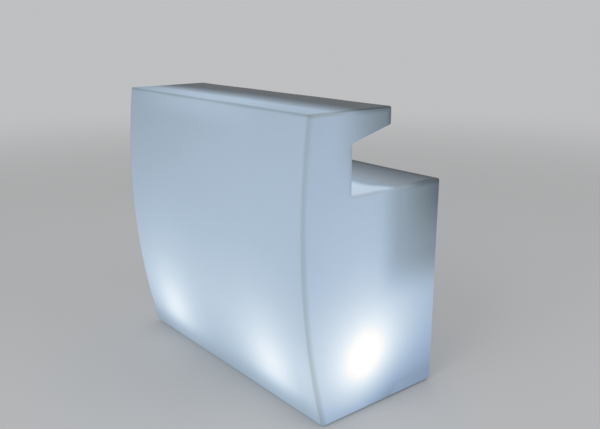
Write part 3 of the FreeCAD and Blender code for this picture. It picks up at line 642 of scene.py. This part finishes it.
# The shade of the niche on the walls round it, and how it grows to the rear and with height
NICHE_SHADE, NICHE_SHADE_Y, NICHE_SHADE_Z = 0.2823, (0.0026, 0.1361), (0.3636, 0.5703)
NICHE_REAR, NICHE_REAR_Z, NICHE_REAR_LOW = 0.3997, (0.5703, 0.8), 0.3508

# The shade of the niche on the worktop, which starts further back at the ends
WORKTOP_SHADE, WORKTOP_SHADE_Y = 0.4056, (0.0054, 0.0680)
WORKTOP_BACK, WORKTOP_BACK_Y = 0.3688, (0.08, 0.33)
WORKTOP_CURVE, WORKTOP_CURVE_X = 0.0422, (0.5, 0.59)

# The shade under the overhang, the one towards the rear, and the lid's, with a lighter band
# along the front's top edge
OVERHANG_SHADE, OVERHANG_Y, OVERHANG_Z = 0.4693, (-0.2192, 0.0513), (0.8059, 0.9852)
REAR_SHADE, REAR_SHADE_Y = 0.1456, (-0.05, 0.33)
LID_LIT_Y, LID_DECAY = -0.2072, 8.9
BAND_MORE, BAND_Z, BAND_MIDDLE, BAND_HALF = 0.128, (1.0, 1.09), -0.09, 0.45

# The cloudiness of the wall, as noise scales and depths, and the painted shade that the thick end
# corners take from the glow
CLOUDS = ((5.0, 0.04), (38.0, 0.025))
CORNER_Z, CORNER_TAKES = (0.25, 0.6), (0.1, 0.03)

# The painted shade along the edges, where the thick moulding dims the glow: how wide each band is,
# and how much red, green and blue it takes (or gives, below 0, as a painted lighter rim)
FRONT_EDGE_SHADE, FRONT_EDGE_SHADE_WIDTH = (0.18, 0.19, 0.244), (4.5 * MM, 23 * MM)
FRONT_EDGE_SHADE_FADE, FRONT_EDGE_SHADE_Z = 0.45, (0.15, 0.95)
FRONT_TOP_SHADE, FRONT_TOP_WIDTH = (0.20, 0.21, 0.255), (3 * MM, 9 * MM)
END_TOP_SHADE, END_TOP_WIDTH, END_TOP_DROP = (0.12, 0.17, 0.25), (3 * MM, 12 * MM), 5 * MM
END_TOP_Y = (-0.2, -0.1)
LIP_EDGE_SHADE, LIP_WIDTH, LIP_EDGE_SHADE_Y, LIP_EDGE_SHADE_Z = (
    (0.36, 0.36, 0.34), (3 * MM, 26 * MM), (-0.15, -0.05), (0.88, 0.96))
WORKTOP_EDGE_SHADE, WORKTOP_WIDTH, WORKTOP_EDGE_SHADE_Y = (0.055, 0.10, 0.135), (5 * MM, 14 * MM), (0.0, 0.08)
# A painted highlight: a lighter rim where the worktop meets the ends, over the front of the niche
WORKTOP_LIT_RIM, WORKTOP_RIM_WIDTH = (-0.06, -0.05, -0.03), (5 * MM, 18 * MM)
WORKTOP_RIM_IN, WORKTOP_RIM_OUT = (0.02, 0.08), (0.14, 0.2)
# Painted shade on the worktop's end edges towards the rear, and along its rear edge
WORKTOP_REAR, WORKTOP_REAR_WIDTH, WORKTOP_REAR_Y = (0.36,) * 3, (3 * MM, 26 * MM), (0.14, 0.24)
REAR_EDGE_WIDTH = (5 * MM, 45 * MM)
NOTCH_SHADE, NOTCH_WIDTH, NOTCH_Z = (0.13,) * 3, (3 * MM, 22 * MM), (0.985, 1.0)

# Red and blue beside green in the faintest light, and what brightness and place add to them
FAINT_HUE = (0.80, 1.215)
MIDDLING, MIDDLING_HUE = (0.53, 0.87), (0.11, -0.13)
BRIGHT, BRIGHT_HUE = (0.87, 0.94), (0.09, -0.085)
DIM_TOP, DIM_TOP_HUE = (0.3, 0.36), (0.06, -0.065)
END_HUE = (0.0, 0.035)
BRIGHT_END, BRIGHT_END_HUE = (0.53, 0.70), (0.0, -0.035)
LOW_END_Z, LOW_FAINT, LOW_FAINT_HUE = (0.2, 0.42), (0.6, 0.4), (-0.045, 0.11)
HIGH_FAINT, HIGH_FAINT_HUE = (0.45, 0.25), (0.0, -0.09)

# What the studio adds on the front, and how much more on the ends, tops and lid, all of which
# is taken off the glow, and the least glow that is left
ROOM_LIGHT, ROOM_END, ROOM_TOP, ROOM_LID = 0.052, -0.007, 0.020, 0.024
LEAST_GLOW = (0.036, 0.045, 0.052)


class SkinPoint:
    """A point of the skin in its shader: its place, its normal and the face that it is on."""

    def __init__(self, shader):
        self.shader = shader
        self.place = shader.place()
        self.normal = shader.node("ShaderNodeTexCoord", {}, {}, "Normal")
        self.x, self.y, self.z = shader.parts(self.place)
        self.nx, _, nz = shader.parts(self.normal)
        self.end = abs(self.nx) * abs(self.x).rise(*END_X)
        self.top = nz.least(0.0) * self.z.rise(*TOPS_Z)
        self.lid = self.top * self.z.rise(*LID_Z)


def lamp_light(p):
    """The light that reaches the skin from inside.

    The sum of an even part and each lamp's: the cosine between the normal and the lamp's ray
    to a power, over the distance to a power, and a wide part over the distance alone. The
    shade near the ground is a power of the depth below its reach.
    """
    s, y, z = p.shader, p.y, p.z
    leaned = s.node("ShaderNodeCombineXYZ", {}, {
        0: p.x, 1: y - (z - SPOT_LEAN_FROM) * p.end * SPOT_LEAN, 2: z})
    near, wide = 0.0, 0.0
    for lamp in LAMP_POINTS:
        ray = s.vector("SUBTRACT", leaned, lamp)
        far = s.vector("LENGTH", ray, (0, 0, 0), "Value")
        facing = (s.vector("DOT_PRODUCT", ray, p.normal, "Value") / far).least(0.0)
        near = near + facing ** SPOT_TURN * (LAMP_REACH / far) ** SPOT_FALL
        wide = wide + (LAMP_REACH / far) ** SPREAD_FALL
    near = near * (1.0 - (1.0 - p.end) * z.rise(*SPOT_LOW_Z, SPOT_LOW, 0.0))
    gain = FRONT_GAIN + p.end * END_GAIN + p.top * TOP_GAIN
    even = (EVEN + (z - EVEN_LEVEL) * EVEN_RISE) * (1.0 - p.end * EVEN_END - p.top * EVEN_TOP)
    height = z.least(p.end * y.rise(*END_LOW_Y, 0.0, END_LOW))
    ground = 1.0 - ((GROUND_REACH - height) / GROUND_REACH).least(0.0) ** GROUND_POWER * (
        GROUND_SHADE + y.most(GROUND_REAR_Y - y) * GROUND_REAR)
    right = 1.0 + p.x * (RIGHT_MORE + z.rise(*RIGHT_HIGH_Z) * RIGHT_HIGH)
    right = right + (1.0 - p.end) * p.x.rise(*RIGHT_EDGE_X) * z.fall(*RIGHT_EDGE_Z) * RIGHT_EDGE
    return (even + gain * (near + wide * SPREAD)) * ground * right


def shades(p):
    """What the niche, the overhang, the rear, the two tops and the thick end corners leave of the
    light, as a product.

    The lid's share is e to the power of minus the distance behind its lit front strip.
    """
    x, y, z = p.x, p.y, p.z
    wall = 1.0 - p.top
    niche_rear = y.share(NICHE_SHADE_Y[1], REAR_Y) * NICHE_REAR
    niche = 1.0 - wall * z.rise(*NICHE_SHADE_Z) * y.rise(*NICHE_SHADE_Y) * (
        NICHE_SHADE + niche_rear * z.rise(*NICHE_REAR_Z, NICHE_REAR_LOW, 1.0))
    overhang = 1.0 - wall * z.rise(*OVERHANG_Z) * y.rise(*OVERHANG_Y) * OVERHANG_SHADE
    rear = 1.0 - y.share(*REAR_SHADE_Y) * REAR_SHADE
    over_niche = (y - abs(x).rise(*WORKTOP_CURVE_X) * WORKTOP_CURVE).rise(*WORKTOP_SHADE_Y)
    worktop = 1.0 - (p.top - p.lid) * over_niche * (
        WORKTOP_SHADE + y.share(*WORKTOP_BACK_Y) * WORKTOP_BACK)
    lid = ((y - LID_LIT_Y).least(0.0) * p.lid * -LID_DECAY).power_of_e()
    off_middle = (x - BAND_MIDDLE) / BAND_HALF
    band = 1.0 + (1.0 - p.end) * z.rise(*BAND_Z, 0.0, BAND_MORE) * (
        1.0 - off_middle * off_middle).least(0.0)
    corner = p.nx * p.nx * (1.0 - p.nx * p.nx) * 4.0
    thick_corner_shade = 1.0 - corner * z.rise(*CORNER_Z, *CORNER_TAKES)
    return niche * overhang * rear * worktop * lid * band * thick_corner_shade


def edge_shades(p):
    """Painted shade along the moulding's thick edges, each band with the red, green and blue it
    takes from the glow; the worktop's rim gives, as a painted highlight.

    A band is whole near its edge and falls to nothing over its width. A distance from an edge
    is the sum of the distances from the two faces that meet there.
    """
    y, z = p.y, p.z
    from_end = HALF_LENGTH - abs(p.x)
    from_front = FRONT_RADIUS - ((y - ARC_Y) * (y - ARC_Y) + (z - ARC_Z) * (z - ARC_Z)) ** 0.5
    from_top = TOP_Z - z
    from_worktop = abs(z - WORKTOP_Z)
    worktop_edge = from_worktop + from_end
    above = z.rise(WORKTOP_Z - 10 * MM, WORKTOP_Z + 10 * MM)
    behind = y.rise(NOTCH_Y - 5 * MM, NOTCH_Y + 5 * MM)
    return (
        ((from_end * 1.5 + from_front * 0.9).fall(*FRONT_EDGE_SHADE_WIDTH)
         * (1.0 - z.share(*FRONT_EDGE_SHADE_Z) * FRONT_EDGE_SHADE_FADE), FRONT_EDGE_SHADE),
        ((from_top * 0.6 + from_front * 1.5).fall(*FRONT_TOP_WIDTH), FRONT_TOP_SHADE),
        ((abs(from_top - END_TOP_DROP) + from_end).fall(*END_TOP_WIDTH) * y.fall(*END_TOP_Y),
         END_TOP_SHADE),
        ((from_top.most(LIP_Y - y) + from_end).fall(*LIP_WIDTH) * y.rise(*LIP_EDGE_SHADE_Y)
         * z.rise(*LIP_EDGE_SHADE_Z), LIP_EDGE_SHADE),
        (worktop_edge.fall(*WORKTOP_WIDTH) * behind * y.fall(*WORKTOP_EDGE_SHADE_Y), WORKTOP_EDGE_SHADE),
        (worktop_edge.fall(*WORKTOP_RIM_WIDTH) * y.rise(*WORKTOP_RIM_IN)
         * y.fall(*WORKTOP_RIM_OUT), WORKTOP_LIT_RIM),
        (worktop_edge.fall(*WORKTOP_REAR_WIDTH) * y.rise(*WORKTOP_REAR_Y), WORKTOP_REAR),
        ((from_worktop * 3.0 + (REAR_Y - y)).fall(*REAR_EDGE_WIDTH), WORKTOP_REAR),
        ((abs(y - NOTCH_Y) + from_end).fall(*NOTCH_WIDTH) * above * z.fall(*NOTCH_Z), NOTCH_SHADE),
    )


def hue(p, glow):
    """Red, green and blue of the light beside its green: blue-grey where faint, white where
    bright, and a little bluer on the ends."""
    low_end = p.end * p.z.fall(*LOW_END_Z)
    red, blue = FAINT_HUE
    for share, (more_red, more_blue) in (
            (glow.share(*MIDDLING), MIDDLING_HUE), (glow.share(*BRIGHT), BRIGHT_HUE),
            (p.top * glow.fall(*DIM_TOP), DIM_TOP_HUE), (p.end, END_HUE),
            (p.end * glow.share(*BRIGHT_END), BRIGHT_END_HUE),
            (low_end * glow.share(*LOW_FAINT), LOW_FAINT_HUE),
            ((p.end - low_end) * glow.share(*HIGH_FAINT), HIGH_FAINT_HUE)):
        red, blue = red + share * more_red, blue + share * more_blue
    return red, 1.0, blue


def lit_polyethylene():
    """Satin polyethylene lit from inside: its glow is emission over a dark base colour, a painted
    shade far darker than the milky plastic itself.

    The lamps' light is shaded, clouded, coloured and dimmed by painted shade along the thick
    edges, and then loses what the studio's own light adds, down to a least glow.
    """
    s = Shader("lit_polyethylene")
    p = SkinPoint(s)
    cloud = sum((s.noise(scale, 3.0) - 0.5) * depth for scale, depth in CLOUDS)
    glow = lamp_light(p) * shades(p) * (1.0 + cloud)
    room = ROOM_LIGHT + p.end * ROOM_END + p.top * ROOM_TOP + p.lid * ROOM_LID
    shown, lights = edge_shades(p), []
    for k, tint in enumerate(hue(p, glow)):
        light = glow * tint
        for edge_shade, takes in shown:
            light = light * (1.0 - edge_shade * takes[k])
        lights.append((light - room).least(LEAST_GLOW[k]))
    colour = s.node("ShaderNodeCombineColor", {}, dict(enumerate(lights)))
    peel = s.noise(420.0, 2.0) * 0.6 + s.noise(90.0, 2.0) * 0.4
    return s.finish({
        # Painted shade: the base colour is near black, far darker than the milky plastic, so that
        # the studio light adds little and the glow sets the brightness
        "Base Color": s.blend(s.noise(60.0, 4.0), shade((0.042, 0.044, 0.046)),
                              shade((0.048, 0.050, 0.052))),
        "Roughness": 0.44 + s.noise(30.0, 4.0) * 0.1, "Specular IOR Level": 0.2,
        "Normal": s.bump(peel, 0.12 * MM, 0.5),
        "Emission Color": colour, "Emission Strength": 1.0})


def moulded_plastic(name, colour, grain=0.05 * MM, grain_scale=1100.0, roughness=0.5):
    """Injection-moulded plastic: spark-grained, a little cloudy, with a few paler rub marks."""
    s = Shader(name)
    cloud = s.noise(70.0, 3.0)
    rubs = s.noise(160.0, 5.0, (1, 1, 5)).rise(0.60, 0.72)
    tone = s.blend(cloud, shade(colour, 0.86), shade(colour, 1.14))
    return s.finish({
        "Base Color": s.blend(rubs * 0.22, tone, shade([c * 0.7 + 0.12 for c in colour])),
        "Roughness": roughness - 0.06 + cloud * 0.12 + rubs * 0.08,
        "Normal": s.bump(s.noise(grain_scale, 2.0) * 0.7 + s.noise(260.0, 2.0) * 0.3, grain, 0.7)})


def panel_plastic():
    """The service panel's grey plastic: grained, and rubbed paler along its outer edge."""
    s = Shader("panel_plastic")
    x, _, z = s.parts(s.place())
    (cx, cz), (hx, hz) = centre_of("panel_plate", 0, 2), half_of("panel_plate", 0, 2)
    to_edge = (hx - abs(x - cx)).most(hz - abs(z - cz))
    rubbed = to_edge.fall(0.3 * MM, 1.6 * MM) * s.noise(60.0, 4.0).rise(0.35, 0.7)
    cloud, dust = s.noise(45.0, 4.0), s.noise(18.0, 5.0).rise(0.5, 0.8)
    tone = s.blend(cloud, shade((0.27, 0.285, 0.30)), shade((0.35, 0.368, 0.385)))
    tone = s.blend(dust * 0.25, tone, shade((0.42, 0.42, 0.41)))
    return s.finish({
        "Base Color": s.blend(rubbed * 0.5, tone, shade((0.50, 0.51, 0.52))),
        "Roughness": 0.5 + cloud * 0.12 + dust * 0.08 - rubbed * 0.1,
        "Normal": s.bump(s.noise(1300.0, 2.0), 0.06 * MM, 0.8)})


def rocker_plastic():
    """The rocker's satin black, with the plain on and off marks, a bar and a ring, moulded in."""
    s = Shader("rocker_plastic")
    x, y, z = s.parts(s.place())
    (cx, cz), (_, hz) = centre_of("switch_rocker", 0, 2), half_of("switch_rocker", 0, 2)
    across, up, down = x - cx, z - (cz + hz * 0.45), z - (cz - hz * 0.45)
    bar = abs(across).fall(0.35 * MM, 0.5 * MM) * abs(up).fall(1.7 * MM, 1.9 * MM)
    round_mark = (across * across + down * down) ** 0.5
    ring = abs(round_mark - 1.6 * MM).fall(0.3 * MM, 0.45 * MM)
    mark = bar.least(ring) * y.rise(304 * MM, 305 * MM)
    haze = s.noise(120.0, 4.0)
    black = s.blend(haze, shade((0.026, 0.026, 0.029)), shade((0.040, 0.040, 0.044)))
    return s.finish({
        "Base Color": s.blend(mark, black, shade((0.75, 0.76, 0.77))),
        "Roughness": 0.26 + haze * 0.14 + mark * 0.15,
        "Normal": s.bump(s.noise(700.0, 2.0) * 0.15 - mark, 0.06 * MM, 0.6)})


def soft_rubber():
    """Black gasket rubber: matt, with fine bloom."""
    s = Shader("soft_rubber")
    bloom = s.noise(140.0, 5.0)
    return s.finish({
        "Base Color": s.blend(bloom, shade((0.018, 0.018, 0.019)), shade((0.042, 0.042, 0.041))),
        "Roughness": 0.78 + bloom * 0.14,
        "Normal": s.bump(s.noise(1500.0, 2.0), 0.04 * MM, 0.6)})


def cable_sheath():
    """The lamp cables' dark sheath, with a faint print of the extruder's ripple."""
    s = Shader("cable_sheath")
    haze = s.noise(90.0, 4.0)
    return s.finish({
        "Base Color": s.blend(haze, shade((0.075, 0.075, 0.085)), shade((0.115, 0.115, 0.125))),
        "Roughness": 0.42 + haze * 0.14,
        "Normal": s.bump(s.noise(520.0, 2.0), 0.05 * MM, 0.5)})


def foot_nylon():
    """The foot pads' black nylon, turned in fine rings and scuffed where they slide."""
    s = Shader("foot_nylon")
    x, y, z = s.parts(s.place())
    (fx, front_y), (_, rear_y) = FEET[1], FEET[3]
    dx, dy = abs(x) - fx, abs(y - (front_y + rear_y) / 2) - (rear_y - front_y) / 2
    rings = ((dx * dx + dy * dy) ** 0.5 * (2 * math.pi / (0.8 * MM))).sine()
    scuff = s.noise(300.0, 5.0).rise(0.5, 0.7) * z.fall(0.5 * MM, 3 * MM)
    haze = s.noise(110.0, 3.0)
    tone = s.blend(haze, shade((0.040, 0.040, 0.044)), shade((0.066, 0.066, 0.072)))
    return s.finish({
        "Base Color": s.blend(scuff * 0.6, tone, shade((0.17, 0.17, 0.165))),
        "Roughness": 0.46 + haze * 0.12 + scuff * 0.15,
        "Normal": s.bump(rings * 0.3 + s.noise(900.0, 2.0), 0.05 * MM, 0.6)})


def worked_metal(name, colour, roughness, stretch, tarnish, pitch=None):
    """Metal with its tool marks drawn out one way, cloudy tarnish, and a thread if it has one."""
    s = Shader(name)
    marks, cloud = s.noise(900.0, 3.0, stretch), s.noise(130.0, 5.0).rise(0.42, 0.72)
    height = marks
    if pitch:
        _, _, z = s.parts(s.place())
        height = marks * 0.1 + (z * (2 * math.pi / pitch)).sine()
    tone = s.blend(marks, shade(colour, 0.88), shade(colour, 1.06))
    return s.finish({
        "Base Color": s.blend(cloud * 0.35, tone, shade(tarnish)), "Metallic": 1.0,
        "Roughness": roughness + marks * 0.12 + cloud * 0.14,
        "Normal": s.bump(height, 0.2 * MM if pitch else 0.02 * MM, 0.7)})


def opal_glass():
    """The lamps' lit opal globes: brightest in the middle, and dimmer down at the cap."""
    s = Shader("opal_glass")
    _, _, z = s.parts(s.place())
    low, high = (corner[2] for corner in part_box("bulb_globe_left"))
    lit = z.rise(low, (low + high) / 2, 0.72, 1.0) * (0.97 + s.noise(55.0, 3.0) * 0.06)
    colour = s.node("ShaderNodeCombineColor", {}, {0: lit * 0.97, 1: lit * 0.99, 2: lit})
    return s.finish({
        "Base Color": s.blend(s.noise(80.0), shade((0.86, 0.87, 0.88)), shade((0.92, 0.93, 0.94))),
        "Roughness": 0.16 + s.noise(200.0, 3.0) * 0.06, "Emission Color": colour,
        "Emission Strength": 1.0})


# Studio

CAMERA_PLACE = (2.249090, -1.671463, 1.384182)
CAMERA_TURN = (51.00997, 15.40867, -0.10989)
CAMERA_LENS, SENSOR_WIDTH = 42.2752, 36.0


def turned(name, data, place, ahead, level, roll=0.0):
    """An object at a place that looks ahead, with its sideways axis level but for the roll."""
    rise = np.cross(level, ahead)
    right = math.cos(roll) * level + math.sin(roll) * rise
    up = math.cos(roll) * rise - math.sin(roll) * level
    made = bpy.data.objects.new(name, data)
    turn = Matrix(np.stack([right, up, -ahead], 1).tolist()).to_4x4()
    made.matrix_world = Matrix.Translation(place) @ turn
    bpy.context.scene.collection.objects.link(made)
    return made


def camera():
    """The camera, at the place and angle from which the photograph was taken."""
    yaw, pitch, roll = (math.radians(a) for a in CAMERA_TURN)
    ahead = np.array([-math.sin(yaw) * math.cos(pitch), math.cos(yaw) * math.cos(pitch),
                      -math.sin(pitch)])
    data = bpy.data.cameras.new("camera")
    data.sensor_fit, data.sensor_width, data.lens = "HORIZONTAL", SENSOR_WIDTH, CAMERA_LENS
    level = np.array([math.cos(yaw), math.sin(yaw), 0.0])
    bpy.context.scene.camera = turned("camera", data, CAMERA_PLACE, ahead, level, roll)
    bpy.context.scene.view_settings.view_transform = "Standard"


PAPER = (0.52, 0.524, 0.53)
FLOOR_RADIUS, FLOOR_SIDES = 60.0, 64
FLOOR_HAZE = (3.0, 9.0)
LIGHT_LEVEL = 0.72


def world():
    """An even soft light from all round; the lens and gloss see the pale paper's colour."""
    made = bpy.data.worlds.new("studio")
    made.use_nodes = True
    nodes, links = made.node_tree.nodes, made.node_tree.links
    nodes.clear()
    path = nodes.new("ShaderNodeLightPath")
    seen = nodes.new("ShaderNodeMath")
    seen.operation = "MAXIMUM"
    links.new(path.outputs["Is Camera Ray"], seen.inputs[0])
    links.new(path.outputs["Is Glossy Ray"], seen.inputs[1])
    light, paper = nodes.new("ShaderNodeBackground"), nodes.new("ShaderNodeBackground")
    light.inputs["Color"].default_value = shade((1.0, 1.0, 1.0))
    light.inputs["Strength"].default_value = LIGHT_LEVEL
    paper.inputs["Color"].default_value = shade(PAPER)
    mix = nodes.new("ShaderNodeMixShader")
    links.new(seen.outputs[0], mix.inputs[0])
    links.new(light.outputs[0], mix.inputs[1])
    links.new(paper.outputs[0], mix.inputs[2])
    out = nodes.new("ShaderNodeOutputWorld")
    links.new(mix.outputs[0], out.inputs[0])
    bpy.context.scene.world = made


def studio_lamp(name, place, target, size, power):
    """A large soft studio lamp, aimed at a point."""
    data = bpy.data.lights.new(name, "AREA")
    data.shape, data.size, data.energy = "DISK", size, power
    aim = np.array(target, float) - place
    ahead = aim / np.linalg.norm(aim)
    level = np.cross(ahead, (0, 0, 1))
    turned(name, data, place, ahead, level / np.linalg.norm(level))


def paper_floor():
    """A round sheet of pale paper that meets the background's colour far away."""
    ring = unit(np.linspace(0, 360, FLOOR_SIDES, endpoint=False)) * FLOOR_RADIUS
    points = np.concatenate([ring, np.zeros((FLOOR_SIDES, 1))], 1)
    data = bpy.data.meshes.new("floor")
    data.from_pydata(points.tolist(), [], [list(range(FLOOR_SIDES))])
    made = bpy.data.objects.new("floor", data)
    bpy.context.scene.collection.objects.link(made)
    s = Shader("pale_paper")
    x, y, _ = s.parts(s.place())
    away = ((x * x + y * y) ** 0.5).rise(*FLOOR_HAZE)
    sheet = s.node("ShaderNodeBsdfPrincipled", {}, {
        "Base Color": s.blend(s.noise(3.0), shade(PAPER, 0.98), shade(PAPER)),
        "Roughness": 0.7, "Specular IOR Level": 0.2})
    haze = s.node("ShaderNodeEmission", {}, {"Color": shade(PAPER)})
    mixed = s.node("ShaderNodeMixShader", {}, {0: away, 1: sheet, 2: haze})
    s.node("ShaderNodeOutputMaterial", {}, {"Surface": mixed})
    data.materials.append(s.material)


# The object

def dress(material, *names):
    """Gives CAD nodes one material."""
    for name in names:
        data = frame["nodes"][name].data
        data.materials.clear()
        data.materials.append(material)


camera()
world()
paper_floor()
for name, place, power in (("key", (1.2, -4.2, 3.6), 60.0), ("fill", (4.2, 1.6, 2.8), 30.0)):
    studio_lamp(name, place, target=(0, 0, 0.5), size=3.0, power=power)

body = moulded_body()
body.data.materials.append(lit_polyethylene())
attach(body, "counter")
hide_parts("body_shell")

on_both_sides = [node + "_" + side for side in SIDES for node in (
    "lampholder", "holder_nut", "bulb_cap", "bulb_globe", "lamp_cable", "lamp_bracket",
    "hatch_cover", "hatch_gasket")]


def both(*starts):
    """The names of the nodes that start so, on both sides."""
    return [name for name in on_both_sides if name.startswith(starts)]


dress(moulded_plastic("grey_plastic", (0.32, 0.34, 0.36)), "back_box", *both("hatch_cover"))
dress(panel_plastic(), "panel_plate")
dress(moulded_plastic("black_plastic", (0.035, 0.036, 0.038), roughness=0.44),
      "inlet_housing", "inlet_flap", "switch_housing", "cable_glands", "cable_clips",
      *both("lampholder", "holder_nut"))
dress(moulded_plastic("terminal_plastic", (0.75, 0.74, 0.70), roughness=0.4), "terminal_block")
dress(rocker_plastic(), "switch_rocker")
dress(soft_rubber(), "panel_gasket", *both("hatch_gasket"))
dress(cable_sheath(), *both("lamp_cable"))
dress(foot_nylon(), *("foot_pad_" + name for name in FOOT_NAMES))
dress(worked_metal("turned_brass", (0.72, 0.55, 0.26), roughness=0.26, stretch=(1, 1, 0.1),
                   tarnish=(0.42, 0.30, 0.14)),
      "hatch_inserts", "foot_inserts", "panel_inserts", "inlet_pins")
dress(worked_metal("brushed_stainless", (0.62, 0.62, 0.60), roughness=0.24,
                   stretch=(0.1, 1, 1), tarnish=(0.46, 0.45, 0.43)),
      "hatch_screws", "panel_screws", "flap_hinge_pin", "back_box_screws")
dress(worked_metal("zinc_plate", (0.55, 0.56, 0.57), roughness=0.30, stretch=(1, 1, 0.3),
                   tarnish=(0.40, 0.41, 0.40)),
      "bracket_screws", *both("lamp_bracket", "bulb_cap"))
dress(worked_metal("zinc_thread", (0.55, 0.56, 0.57), roughness=0.30, stretch=(1, 1, 0.3),
                   tarnish=(0.38, 0.39, 0.38), pitch=1.5 * MM),
      *("foot_stem_" + name for name in FOOT_NAMES))
dress(opal_glass(), *both("bulb_globe"))
